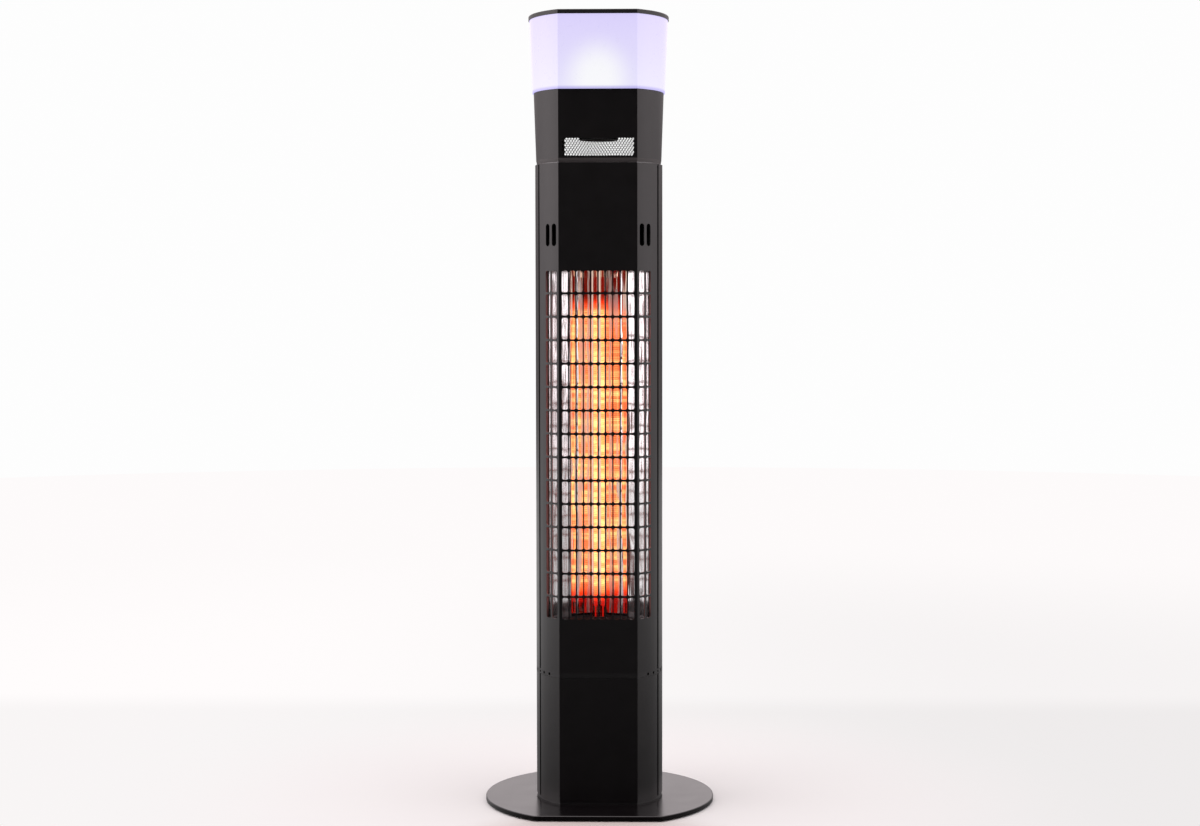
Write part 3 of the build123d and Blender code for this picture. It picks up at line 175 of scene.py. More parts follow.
# %% Camera
view_turn = math.radians(1.12)
view_pitch = math.radians(2.985)
view_roll = math.radians(0.080)
camera_place = Vector((0.0012, -2.8733, 0.6977))
bpy.ops.object.camera_add()
camera = bpy.context.object
camera.name = "camera"
camera.data.lens = 61.35
camera.data.sensor_width = 36.0
camera.location = Matrix.Rotation(view_turn, 3, "Z") @ camera_place
camera.rotation_euler = (
    Matrix.Rotation(view_turn, 3, "Z")
    @ Matrix.Rotation(math.pi / 2 - view_pitch, 3, "X")
    @ Matrix.Rotation(-view_roll, 3, "Z")
).to_euler()
camera.data.clip_start = 0.05
camera.data.clip_end = 100.0
bpy.context.scene.camera = camera
bpy.context.scene.view_settings.view_transform = "Standard"
print("camera at", [round(v, 3) for v in camera.location])

# %% [markdown]
# ## Studio
#
# The room is a soft white world. It is dark on the camera's side, so that the flat black front
# stays black while the round sides catch light, and the camera itself sees it as an even white
# backdrop.

# %% World
world = bpy.data.worlds.new("studio")
bpy.context.scene.world = world
sky = bare_tree(world)
direction = add_node(
    sky,
    "ShaderNodeSeparateXYZ",
    {0: add_node(sky, "ShaderNodeTexCoord").outputs["Generated"]},
)
# The left wall is brighter than the right, the far wall is dim, and light falls off downwards.
walls = graded(
    sky,
    "MULTIPLY",
    [
        (direction.outputs["X"], -1.0, 1.0, 2.2, 1.6),
        (direction.outputs["Y"], -0.1, 1.0, 1.0, 0.09),
        (direction.outputs["Z"], -0.24, 0.1, 0.4, 1.2),
    ],
)
ceiling = graded(sky, "MULTIPLY", [(direction.outputs["Z"], 0.02, 0.2, 0.0, 1.35)])
room = add_node(sky, "ShaderNodeMath", {0: walls, 1: ceiling}, operation="MAXIMUM")
away_from_camera = graded(sky, "MULTIPLY", [(direction.outputs["Y"], -0.9, -0.42, 0.0, 1.0)])
room = add_node(
    sky, "ShaderNodeMath", {0: room, 1: away_from_camera, 2: 0.012}, operation="MULTIPLY_ADD"
)
seen_directly = add_node(sky, "ShaderNodeLightPath").outputs["Is Camera Ray"]
room_strength = add_node(sky, "ShaderNodeMix", {0: seen_directly, 2: room, 3: 0.985})
room_tint = add_node(
    sky,
    "ShaderNodeMix",
    {0: seen_directly, 6: colour("FFF5F7"), 7: colour("FFFFFF")},
    data_type="RGBA",
)
backdrop = add_node(
    sky, "ShaderNodeBackground", {"Color": room_tint.outputs[2], "Strength": room_strength}
)
add_node(sky, "ShaderNodeOutputWorld", {"Surface": backdrop})
print("white room, dark behind the camera")

# %% [markdown]
# ## Floor
#
# The floor is a wide disc of white paper. Near the heater it takes real shadows, and a painted
# shadow darkens it just in front of the heater. Further out it glows evenly and so fades into the
# backdrop; closer in, its glow is painted lighter to the left, as painted light. Mirrored in the
# heater, it shows a painted reflection: dark towards the camera.

# %% Floor
bpy.ops.mesh.primitive_circle_add(vertices=96, radius=6.0, fill_type="NGON")
floor = bpy.context.object
floor.name = "studio_floor"
paper = bpy.data.materials.new("white_studio_paper")
tree = bare_tree(paper)
place = add_node(tree, "ShaderNodeTexCoord").outputs["Object"]
along = add_node(tree, "ShaderNodeSeparateXYZ", {0: place})
from_axis = add_node(tree, "ShaderNodeVectorMath", {0: place}, operation="LENGTH").outputs["Value"]
heading = add_node(tree, "ShaderNodeVectorMath", {0: place}, operation="NORMALIZE")
heading = add_node(tree, "ShaderNodeSeparateXYZ", {0: heading})
# Seen directly, the paper's glow is painted lighter to the left, as painted light, and a little
# lighter far behind the heater.
seen_level = graded(
    tree,
    "ADD",
    [
        (along.outputs["X"], -0.8, 0.8, 0.94, 0.86),
        (along.outputs["Y"], 0.6, 0.8, 0.0, 0.06),
    ],
)
# Painted reflection: the floor as the heater mirrors it is painted dark towards the camera, darker
# near the heater and lighter to the left.
painted_reflection_level = graded(
    tree,
    "MULTIPLY",
    [
        (heading.outputs["X"], -1.0, 1.0, 1.08, 0.68),
        (heading.outputs["Y"], -0.9, -0.42, 0.12, 1.0),
        (from_axis, 0.2, 2.2, 0.3, 1.0),
    ],
)
mirrored = add_node(tree, "ShaderNodeLightPath").outputs["Is Glossy Ray"]
far_out = graded(tree, "ADD", [(from_axis, 1.3, 3.2, 0.0, 1.0)])
seen_level = add_node(tree, "ShaderNodeMix", {0: far_out, 2: seen_level, 3: 0.985})
paper_level = add_node(tree, "ShaderNodeMix", {0: mirrored, 2: seen_level, 3: painted_reflection_level})
lit_paper = add_node(
    tree, "ShaderNodeEmission", {"Color": colour("FFFCFC"), "Strength": paper_level}
)
# Painted shadow: the bare paper is painted darker (B2AAA6) in a wedge just in front of the heater.
painted_front_shadow = graded(
    tree,
    "MAXIMUM",
    [(heading.outputs["Y"], -0.98, -0.6, 0.0, 1.0), (from_axis, 0.12, 0.5, 0.0, 1.0)],
)
bare_tint = add_node(
    tree,
    "ShaderNodeMix",
    {0: painted_front_shadow, 6: colour("B2AAA6"), 7: colour("CACBCA")},
    data_type="RGBA",
)
bare_paper = add_node(tree, "ShaderNodeBsdfDiffuse", {"Color": bare_tint.outputs[2]})
fade = graded(tree, "ADD", [(from_axis, 0.15, 0.75, 0.0, 1.0)])
share = add_node(tree, "ShaderNodeMath", {0: fade, 1: mirrored}, operation="MAXIMUM")
mixed = add_node(tree, "ShaderNodeMixShader", {0: share, 1: bare_paper, 2: lit_paper})
add_node(tree, "ShaderNodeOutputMaterial", {"Surface": mixed})
floor.data.materials.append(paper)
print("white paper floor, 12 m across")

# %% [markdown]
# ## Materials
#
# One material for each finish of the real heater. Grain and patch sizes are real millimetres.
# Grains finer than half a millimetre are drawn at that size, because finer ones would not show.

# %% Coats and plastics
finishes = {}

# Powder sprayed on and baked: a fine orange peel that blurs the studio into soft bands.
powder_coat = (("070506", "090708"), (0.29, 0.37), 0.0, (1.6, 0.03, 0.5), 22.0)
finishes["black_powder_coat"] = new_finish("satin_black_powder_coat", *powder_coat)
# On the guard grille the same coat is painted a lighter brown inside, where the glow falls, so the
# backs of its bars catch the glow as painted light. The brown starts just under the outer skin and
# fades out above and below the tubes.
skin_radius, skin_front, skin_depth = 0.0888, -0.0705, 0.0004
heated_from, heated_to = (0.25, 0.30), (0.70, 0.78)
finishes["painted_glow_coat"] = new_finish("powder_coat_with_painted_glow", *powder_coat)
tree = finishes["painted_glow_coat"].node_tree
place = add_node(tree, "ShaderNodeTexCoord").outputs["Object"]
along = add_node(tree, "ShaderNodeSeparateXYZ", {0: place})
level_place = add_node(
    tree, "ShaderNodeVectorMath", {0: place, 1: (1.0, 1.0, 0.0)}, operation="MULTIPLY"
)
from_axis = add_node(tree, "ShaderNodeVectorMath", {0: level_place}, operation="LENGTH")
inside = graded(
    tree,
    "MULTIPLY",
    [
        (from_axis.outputs["Value"], skin_radius, skin_radius - skin_depth, 0.0, 1.0),
        (along.outputs["Y"], skin_front, skin_front + skin_depth, 0.0, 1.0),
        (along.outputs["Z"], *heated_from, 0.0, 1.0),
        (along.outputs["Z"], *heated_to, 1.0, 0.0),
    ],
)
tint = tree.nodes["Principled BSDF"].inputs["Base Color"].links[0].from_socket
# Painted light: the lighter brown 8A5550 stands in for the glow falling on the inner faces.
painted_glow_tint = add_node(
    tree, "ShaderNodeMix", {0: inside, 6: tint, 7: colour("8A5550")}, data_type="RGBA"
)
wire(tree, tree.nodes["Principled BSDF"], {"Base Color": painted_glow_tint.outputs[2]})
# Powder on thick plate, baked longer: it flows out glossier and mirrors the wall at a low angle.
finishes["base_black_coat"] = new_finish(
    "smooth_black_powder_coat", ("060405", "080607"), (0.2, 0.27), 0.0, (1.1, 0.04, 0.6), 35.0
)
# Moulded against a spark-eroded tool: a dry grain with no clear highlight.
finishes["black_plastic"] = new_finish(
    "spark_eroded_black_abs", ("070607", "0A090A"), (0.38, 0.46), 0.0, (0.5, 0.03, 0.6), 12.0
)
# The ring between body and head is painted a lighter grey than black moulding, as a painted
# highlight, so it shows as a pale line.
finishes["painted_highlight_ring"] = new_finish(
    "satin_abs_painted_pale_highlight", ("353131", "3C3838"), (0.36, 0.44), 0.0, (0.5, 0.03, 0.5), 18.0
)
# Keys moulded in grey: slightly soft, with worn-in gloss patches.
finishes["button_plastic"] = new_finish(
    "moulded_grey_abs_keys", ("424246", "4A4A4E"), (0.34, 0.46), 0.0, (0.5, 0.02, 0.5), 3.0
)
# Ink pressed on with a soft pad: flat white with thin spots.
finishes["mark_ink"] = new_finish(
    "pad_printed_white_ink", ("C9CACB", "E2E2DF"), (0.5, 0.62), 0.0, (0.5, 0.01, 0.4), 0.8
)
# A rocker from a polished tool: a hard, clear highlight.
finishes["rocker_plastic"] = new_finish(
    "polished_black_polycarbonate", ("0A0A0B", "0D0D0E"), (0.08, 0.18), 0.0, (0.9, 0.005, 0.3), 6.0
)
# Wrinkle paint shrinks as it dries: small folds that scatter light.
finishes["speaker_steel"] = new_finish(
    "black_wrinkle_painted_steel", ("131313", "181818"), (0.44, 0.56), 0.0, (1.2, 0.05, 0.7), 9.0
)
# Moulded rubber, dusty and dull.
finishes["rubber_pads"] = new_finish(
    "moulded_black_rubber", ("0F0F0F", "161515"), (0.7, 0.82), 0.0, (0.8, 0.05, 0.7), 7.0
)
# Silicone drawn over the wire: red-brown with fine lines along its length.
finishes["silicone_lead"] = new_finish(
    "extruded_red_brown_silicone",
    ("7E2217", "A23523"),
    (0.44, 0.54),
    0.0,
    (0.6, 0.02, 0.5),
    4.0,
    0.1,
)
# A matt black sheet with a weak sheen, as painted shade: it hardly mirrors the glow, so the
# trough's floor stays dark.
finishes["painted_dark_sheet"] = new_finish(
    "matt_black_sheet_painted_shade",
    ("161012", "1C1417"),
    (0.6, 0.8),
    0.0,
    (0.7, 0.02, 0.4),
    6.0,
    sockets={"Specular IOR Level": 0.12},
)
# The rails behind the seams are made dull black, as painted shadow in the seams, so the seams read
# as dark lines.
finishes["painted_seam_shadow"] = new_finish(
    "matt_black_painted_seam_shadow", ("050404", "070606"), (0.8, 0.9), 0.0, (0.9, 0.02, 0.5), 8.0
)
# The relays' cases are glass-filled plastic: blue, with a faint mottle.
finishes["relay_case"] = new_finish(
    "moulded_blue_pbt", ("1C4682", "225392"), (0.3, 0.4), 0.0, (0.5, 0.02, 0.5), 5.0
)

# %% Metals
# Plated screws keep small yellowish clouds from the plating bath.
finishes["zinc_fasteners"] = new_finish(
    "bright_zinc_plated_steel", ("B5B8B6", "D2D2C9"), (0.22, 0.36), 1.0, (0.6, 0.01, 0.3), 2.5
)
# Steel blackened in hot salt: dark, half metallic, a little oily.
finishes["black_fasteners"] = new_finish(
    "black_oxide_steel", ("191819", "201F20"), (0.34, 0.5), 0.6, (0.5, 0.01, 0.4), 1.5
)
# Aluminium left as it leaves the mill: long rolling lines in a soft grey.
finishes["aluminised_sheet"] = new_finish(
    "mill_finish_aluminium", ("BEC0C3", "D6D7D9"), (0.3, 0.38), 1.0, (1.0, 0.01, 0.5), 2.0, 0.03
)
# A can drawn from bright steel: fine lines along the pull.
finishes["bimetal_can"] = new_finish(
    "drawn_bright_steel", ("B8B6B1", "C3C1BC"), (0.2, 0.34), 1.0, (1.2, 0.01, 0.4), 3.0, 0.1
)
# Etched mesh, grey and frosty on the rear, dipped black in front: its bars read dark against the
# lit holes.
finishes["speaker_mesh"] = new_finish(
    "etched_steel_mesh", ("8C8684", "989291"), (0.42, 0.56), 0.35, (0.5, 0.01, 0.3), 2.0
)
finishes["front_mesh"] = new_finish(
    "black_dipped_steel_mesh", ("0E0C0C", "141212"), (0.5, 0.62), 0.0, (0.5, 0.01, 0.3), 2.0
)
# Galvanised sheet crystallises as it cools: spangles, each with its own grey and gloss.
zinc_tints, zinc_roughness, spangle_mm = ("A4A8AB", "CED1D2"), (0.28, 0.48), 7.0
finishes["galvanised_steel"] = new_finish(
    "spangled_galvanised_sheet", zinc_tints, zinc_roughness, 1.0, (0.9, 0.01, 0.4), spangle_mm
)
tree = finishes["galvanised_steel"].node_tree
place = add_node(tree, "ShaderNodeTexCoord").outputs["Object"]
spangles = add_node(tree, "ShaderNodeTexVoronoi", {"Vector": place, "Scale": 1000.0 / spangle_mm})
grey = add_node(tree, "ShaderNodeRGBToBW", {0: spangles.outputs["Color"]})
tint = add_node(
    tree,
    "ShaderNodeMix",
    {0: grey, 6: colour(zinc_tints[0]), 7: colour(zinc_tints[1])},
    data_type="RGBA",
)
wire(
    tree,
    tree.nodes["Principled BSDF"],
    {
        "Base Color": tint.outputs[2],
        "Roughness": graded(tree, "ADD", [(grey, 0.0, 1.0, *zinc_roughness)], "LINEAR"),
    },
)

# %% Boards, ceramic and paper
# Ceramic cast in a plaster mould: off-white and chalky, with faint clouds.
finishes["white_ceramic"] = new_finish(
    "slip_cast_steatite", ("D9D2C4", "ECE7DC"), (0.5, 0.6), 0.0, (0.7, 0.03, 0.6), 1.4
)
# Pressed ferrite powder: black-grey and grainy.
finishes["magnet_ferrite"] = new_finish(
    "sintered_ferrite", ("272729", "323234"), (0.56, 0.68), 0.0, (0.5, 0.04, 0.8), 2.0
)
# Paper pulp pressed into a cone: matt, with the fibres showing.
finishes["speaker_paper"] = new_finish(
    "pressed_black_paper_pulp", ("100F0F", "252322"), (0.8, 0.9), 0.0, (0.9, 0.12, 0.9), 1.3
)
# Solder mask poured over copper: the tracks show as a lighter green under the gloss.
mask_tints = ("1B5832", "236B3E")
finishes["circuit_board"] = new_finish(
    "green_solder_mask", mask_tints, (0.26, 0.34), 0.0, (0.6, 0.01, 0.3), 8.0
)
tree = finishes["circuit_board"].node_tree
place = add_node(tree, "ShaderNodeTexCoord").outputs["Object"]
tracks = add_node(
    tree,
    "ShaderNodeTexBrick",
    {
        "Vector": place,
        "Color1": colour(mask_tints[0]),
        "Color2": colour(mask_tints[1]),
        "Mortar": colour("124023"),
        "Scale": 160.0,
        "Mortar Size": 0.06,
    },
)
track_edges = add_node(
    tree,
    "ShaderNodeBump",
    {"Height": tracks.outputs["Fac"], "Distance": 0.00003, "Strength": 0.5},
)
wire(
    tree,
    tree.nodes["Principled BSDF"],
    {"Base Color": tracks.outputs["Color"], "Normal": track_edges},
)
print(len(finishes), "coats, plastics, metals and boards")

# %% [markdown]
# ## Mirror sheet
#
# The reflector is aluminium rolled to a mirror. Two pressed lines on each side tip the sheet a few
# degrees: the inner one is scuffed dull, and the outer one mirrors the white room as a bright line.
# Between them the sheet is a little steeper, so that it mirrors the tubes. The pressed lines wander
# by up to 2 mm, and dull bands run along the rolling direction. The wings are a little hazy.

# %% Mirror finish
inner_line, steeper_part, outer_line = (0.0138, 0.0163), (0.0175, 0.0293), (0.0297, 0.0325)
scuff_start, scuff_end = (0.0132, 0.0142), (0.0168, 0.0158)
bands_end, haze_start = (0.036, 0.030), (0.038, 0.044)
finishes["polished_aluminium"] = new_finish(
    "mirror_rolled_aluminium", ("F0EEEF", "F2F1F2"), (0.03, 0.09), 1.0, (5.0, 0.1, 1.0), 12.0
)
tree = finishes["polished_aluminium"].node_tree
place = add_node(tree, "ShaderNodeTexCoord").outputs["Object"]
across = add_node(tree, "ShaderNodeSeparateXYZ", {0: place}).outputs["X"]
from_middle = add_node(tree, "ShaderNodeMath", {0: across}, operation="ABSOLUTE")
lines, bands, ripples = [
    add_node(
        tree,
        "ShaderNodeTexNoise",
        {
            "Vector": add_node(tree, "ShaderNodeMapping", {"Vector": place, "Scale": stretch}),
            "Scale": 1000.0 / size_mm,
            "Detail": detail,
        },
    )
    for size_mm, detail, stretch in (
        (45.0, 1.0, (0.3, 0.3, 1.0)),
        (8.0, 0.0, (1.0, 1.0, 0.06)),
        (5.0, 1.0, (1.0, 1.0, 0.03)),
    )
]
wander = graded(tree, "ADD", [(lines, 0.2, 0.8, -0.0018, 0.0018)], "LINEAR")
from_middle = add_node(tree, "ShaderNodeMath", {0: from_middle, 1: wander}, operation="ADD")
relief_mm = graded(
    tree,
    "ADD",
    [
        (ripples, 0.0, 1.0, 0.0, 0.2),
        (from_middle, *inner_line, 0.0, 0.40),
        (from_middle, *steeper_part, 0.0, 0.45),
        (from_middle, *outer_line, 0.0, -0.38),
    ],
    "LINEAR",
)
relief = add_node(
    tree, "ShaderNodeBump", {"Height": relief_mm, "Distance": 0.001, "Strength": 1.0}
)
scuffed = graded(
    tree,
    "MULTIPLY",
    [(from_middle, *scuff_start, 0.0, 1.0), (from_middle, *scuff_end, 0.0, 0.55)],
)
dull_bands = graded(
    tree, "MULTIPLY", [(bands, 0.54, 0.62, 0.0, 1.0), (from_middle, *bands_end, 0.0, 0.42)]
)
dull = add_node(tree, "ShaderNodeMath", {0: dull_bands, 1: scuffed}, operation="MAXIMUM")
wing_haze = graded(tree, "ADD", [(from_middle, *haze_start, 0.0, 0.09)])
dull = add_node(tree, "ShaderNodeMath", {0: dull, 1: wing_haze}, operation="MAXIMUM")
wire(
    tree,
    tree.nodes["Principled BSDF"],
    {
        "Metallic": graded(tree, "ADD", [(dull, 0.0, 1.0, 1.0, 0.0)], "LINEAR"),
        "Roughness": graded(
            tree, "ADD", [(dull, 0.0, 1.0, 0.0, 0.4), (bands, 0.0, 1.0, 0.03, 0.09)], "LINEAR"
        ),
        "Normal": relief,
    },
)
print("mirror sheet with pressed lines at 15 and 31 mm")

# %% [markdown]
# ## Glowing finishes
#
# The ribbons are hottest in their middle and fade to dark red at both ends, where the pins carry
# the heat away. Seen from behind they are a deeper orange. The quartz lets nearly all light
# straight through and mirrors a little of the room. The opal lamp glows violet-white, brightest
# low down.

# %% Quartz, ribbons, lamp
# Fused quartz drawn into tube: clear, with a mirrored rim. Both rims get a painted cream glow along
# the hot length, as a painted highlight for the ribbon's light that the wall pipes.
glow_bottom, glow_top, glow_fade = 0.281, 0.714, 0.026
finishes["quartz"] = bpy.data.materials.new("fused_quartz_tube")
tree = bare_tree(finishes["quartz"])
clear = add_node(tree, "ShaderNodeBsdfTransparent", {"Color": colour("FFF4EC")})
mirror = add_node(tree, "ShaderNodeBsdfGlossy", {"Color": colour("FFFFFF"), "Roughness": 0.03})
edge = add_node(tree, "ShaderNodeFresnel", {"IOR": 1.46})
edge = graded(tree, "ADD", [(edge, 0.03, 1.0, 0.03, 0.7)], "LINEAR")
wall = add_node(tree, "ShaderNodeMixShader", {0: edge, 1: clear, 2: mirror})
place = add_node(tree, "ShaderNodeTexCoord").outputs["Object"]
height = add_node(tree, "ShaderNodeSeparateXYZ", {0: place}).outputs["Z"]
facing = add_node(tree, "ShaderNodeLayerWeight", {"Blend": 0.5}).outputs["Facing"]
# Painted highlight: where the cream rim glow is painted, at the tube's rims along the hot length.
rim = graded(
    tree,
    "MULTIPLY",
    [
        (facing, 0.26, 0.50, 0.0, 1.0),
        (height, glow_bottom, glow_bottom + 2 * glow_fade, 0.0, 1.0),
        (height, glow_top - glow_fade, glow_top, 1.0, 0.75),
    ],
)
# The painted cream glow of the rims.
painted_rim_glow = add_node(tree, "ShaderNodeEmission", {"Color": colour("FFE2D2"), "Strength": 0.85})
wall = add_node(tree, "ShaderNodeMixShader", {0: rim, 1: wall, 2: painted_rim_glow})
add_node(tree, "ShaderNodeOutputMaterial", {"Surface": wall})

# Resistance ribbon at 900 degrees: it gives the light of the whole trough.
finishes["element_alloy"] = new_finish(
    "glowing_resistance_ribbon", ("62341E", "744026"), (0.44, 0.56), 1.0, (0.5, 0.01, 0.4), 3.0
)
tree = finishes["element_alloy"].node_tree
place = add_node(tree, "ShaderNodeTexCoord").outputs["Object"]
along = add_node(tree, "ShaderNodeSeparateXYZ", {0: place})
stretched = add_node(tree, "ShaderNodeMapping", {"Vector": place, "Scale": (0.2, 0.2, 1.0)})
flicker = add_node(tree, "ShaderNodeTexNoise", {"Vector": stretched, "Scale": 1000.0 / 6.5})
heat = graded(
    tree,
    "MULTIPLY",
    [
        (along.outputs["Z"], glow_bottom, glow_bottom + glow_fade, 0.0, 1.0),
        (along.outputs["Z"], glow_top - glow_fade, glow_top, 1.0, 0.0),
        (flicker, 0.36, 0.66, 0.72, 1.0),
    ],
    "LINEAR",
)
in_front = graded(tree, "ADD", [(along.outputs["Y"], -0.0072, -0.0096, 0.0, 1.0)])
glows = []
for hot in ("FF7E50", "FFA866"):
    ramp = add_node(tree, "ShaderNodeValToRGB", {0: heat})
    ramp.color_ramp.elements[0].color = colour("A80C0A")
    ramp.color_ramp.elements[1].color = colour("FFC884")
    ramp.color_ramp.elements.new(0.36).color = colour("FF4218")
    ramp.color_ramp.elements.new(0.82).color = colour(hot)
    glows.append(ramp.outputs["Color"])
glow = add_node(tree, "ShaderNodeMix", {0: in_front, 6: glows[0], 7: glows[1]}, data_type="RGBA")
strength = graded(
    tree,
    "MULTIPLY",
    [
        (heat, 0.0, 1.0, 1.6, 2.8),
        (in_front, 0.0, 1.0, 0.62, 1.0),
        (along.outputs["Z"], glow_top - glow_fade, glow_top, 1.0, 0.35),
    ],
    "LINEAR",
)
wire(
    tree,
    tree.nodes["Principled BSDF"],
    {"Emission Color": glow.outputs[2], "Emission Strength": strength},
)

# A blue chip under yellow phosphor: the emitters themselves, hidden under the opal.
finishes["led_emitter"] = new_finish(
    "phosphor_coated_led",
    ("EEDC98", "F6E8AA"),
    (0.36, 0.44),
    0.0,
    (0.5, 0.02, 0.4),
    1.5,
    sockets={"Emission Color": colour("E4DEFF"), "Emission Strength": 3.0},
)

# Opal acrylic, cast with a white filler: an even violet-white glow with a hot spot low down.
lamp_bottom, lamp_top, spot_height = 0.9936, 1.094, 1.006
spot_reach, violet_line = (0.062, 0.008), (lamp_bottom + 0.0054, lamp_bottom + 0.0009)
finishes["opal_diffuser"] = new_finish(
    "lit_opal_acrylic", ("5A5662", "625E6A"), (0.26, 0.3), 0.0, (0.8, 0.01, 0.2), 9.0
)
tree = finishes["opal_diffuser"].node_tree
place = add_node(tree, "ShaderNodeTexCoord").outputs["Object"]
height = add_node(tree, "ShaderNodeSeparateXYZ", {0: place}).outputs["Z"]
shifted = add_node(
    tree, "ShaderNodeVectorMath", {0: place, 1: (0.0, 0.0, spot_height)}, operation="SUBTRACT"
)
flattened = add_node(
    tree, "ShaderNodeVectorMath", {0: shifted, 1: (1.0, 0.0, 0.85)}, operation="MULTIPLY"
)
from_spot = add_node(tree, "ShaderNodeVectorMath", {0: flattened}, operation="LENGTH")
glow = colour("E8E6FF")
for curve, row, tint in (
    ("LINEAR", (height, lamp_bottom, lamp_top, 0.0, 1.0), "DBD3FF"),
    ("SMOOTHERSTEP", (from_spot.outputs["Value"], *spot_reach, 0.0, 1.0), "FCFEFF"),
    ("SMOOTHSTEP", (height, *violet_line, 0.0, 0.75), "A9A2EC"),
):
    share = graded(tree, "ADD", [row], curve)
    glow = add_node(
        tree, "ShaderNodeMix", {0: share, 6: glow, 7: colour(tint)}, data_type="RGBA"
    ).outputs[2]
wire(
    tree,
    tree.nodes["Principled BSDF"],
    {"Emission Color": glow, "Emission Strength": 0.86},
)
print(len(finishes), "finishes made")

# %% [markdown]
# ## Dressing the CAD pieces
#
# Each CAD node gets the finish of its material slot. The nodes are then copied, merged and shaded
# smooth, because a CAD mesh is made of loose triangles and its round faces would look faceted. Six
# copies then get a finish of their own. The reflector and the ribbons are left out here, as they
# are built further down.

# %% Finishes on the CAD nodes
node_slots = {part["node"]: part["material_slot"] for part in frame["record"]["subparts"]}
node_bodies = {
    name: body for body, names in frame["record"]["behaviour"]["bodies"].items() for name in names
}
for name, slot_name in node_slots.items():
    nodes[name].data.materials.clear()
    nodes[name].data.materials.append(finishes[slot_name])
print(len(node_slots), "nodes dressed")


# %% Smooth copies
weld_distance, smooth_angle = 0.000005, math.radians(28)


def smooth_copy(name):
    """A merged, smooth-shaded copy of a CAD node, which stands for it."""
    bpy.ops.object.select_all(action="DESELECT")
    copy = nodes[name].copy()
    copy.data = nodes[name].data.copy()
    bpy.context.scene.collection.objects.link(copy)
    for key in list(copy.keys()):
        del copy[key]
    copy.parent = None
    copy.name = name + "_smooth"
    copy.select_set(True)
    bpy.context.view_layer.objects.active = copy
    bpy.ops.object.mode_set(mode="EDIT")
    bpy.ops.mesh.select_all(action="SELECT")
    bpy.ops.mesh.remove_doubles(threshold=weld_distance)
    bpy.ops.mesh.customdata_custom_splitnormals_clear()
    bpy.ops.mesh.normals_make_consistent(inside=False)
    bpy.ops.object.mode_set(mode="OBJECT")
    bpy.ops.object.shade_smooth_by_angle(angle=smooth_angle)
    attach(copy, node_bodies[name])
    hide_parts(name)
    return copy


built_here = ("reflector", "heating_elements")
smooth = {name: smooth_copy(name) for name in node_slots if name not in built_here}
for name, finish in (
    ("reflector_bottom_plate", "painted_dark_sheet"),
    ("head_base_ring", "painted_highlight_ring"),
    ("front_speaker_mesh", "front_mesh"),
    ("grille_panel", "painted_glow_coat"),
    ("side_rail_left", "painted_seam_shadow"),
    ("side_rail_right", "painted_seam_shadow"),
):
    smooth[name].data.materials.clear()
    smooth[name].data.materials.append(finishes[finish])
print(len(smooth), "smooth copies made")

# %% [markdown]
# ## Reflector
#
# The real reflector is a thin springy sheet, pressed into a trough between two wings, and it is
# never quite even: slow dents make the glow's edges wander. One upright edge is drawn out along the
# first wing, spun round the trough and drawn out again. A displace modifier then gives it the
# dents. The sheet is built short and stretched afterwards, so that the dents come out long.

# %% Reflector
reflector_low, reflector_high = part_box("reflector")
trough_edge = Vector((0.040, -0.0085))
trough_back_y = 0.0093
wing_tip = Vector((0.0691, -0.0293))
wing_bow = math.radians(1.5)
wing_steps, trough_steps, reflector_rows = 16, 72, 90
dent_stretch = 2.6
dent_size, dent_depth = 0.024, 0.0016
steady_rim, steady_tip = 0.020, 0.008
sheet_thickness = 0.0008
trough_depth = trough_back_y - trough_edge.y
trough_radius = (trough_edge.x**2 + trough_depth**2) / (2 * trough_depth)
trough_centre_y = trough_back_y - trough_radius
trough_turn = math.pi - 2 * math.atan2(trough_edge.y - trough_centre_y, trough_edge.x)
wing = trough_edge - wing_tip
wing_slope = math.atan2(wing.y, -wing.x)
short_length = (reflector_high.z - reflector_low.z) / dent_stretch


def draw_out_wing(side):
    """Extrudes the selected edge along a wing, inwards (side 1) or outwards (side -1)."""
    step = wing.length / wing_steps
    for count in range(wing_steps):
        share = (count + 0.5) / wing_steps
        slope = wing_slope + side * wing_bow * (1 - 2 * share)
        move = (-step * math.cos(slope), side * step * math.sin(slope), 0.0)
        bpy.ops.mesh.extrude_region_move(TRANSFORM_OT_translate={"value": move})


bpy.ops.object.select_all(action="DESELECT")
bpy.ops.mesh.primitive_plane_add(size=1.0)
mirror_sheet = bpy.context.object
mirror_sheet.name = "dented_reflector"
bpy.ops.object.mode_set(mode="EDIT")
bpy.ops.mesh.select_all(action="DESELECT")
bpy.ops.object.mode_set(mode="OBJECT")
for vertex in mirror_sheet.data.vertices:
    vertex.select = vertex.co.x < 0
bpy.ops.object.mode_set(mode="EDIT")
bpy.ops.mesh.delete(type="VERT")
bpy.ops.mesh.select_all(action="SELECT")
bpy.ops.transform.translate(value=(-0.5, 0.0, 0.0))
bpy.ops.transform.rotate(value=-math.pi / 2, orient_axis="X", center_override=(0, 0, 0))
bpy.ops.transform.resize(value=(1.0, 1.0, short_length), center_override=(0, 0, 0))
bpy.ops.transform.translate(value=(wing_tip.x, wing_tip.y, short_length / 2 + reflector_low.z))
bpy.ops.mesh.subdivide(number_cuts=reflector_rows - 1)
draw_out_wing(1)
bpy.ops.mesh.spin(
    steps=trough_steps,
    angle=-trough_turn,
    center=(0.0, trough_centre_y, 0.0),
    axis=(0.0, 0.0, 1.0),
)
draw_out_wing(-1)
bpy.ops.object.mode_set(mode="OBJECT")

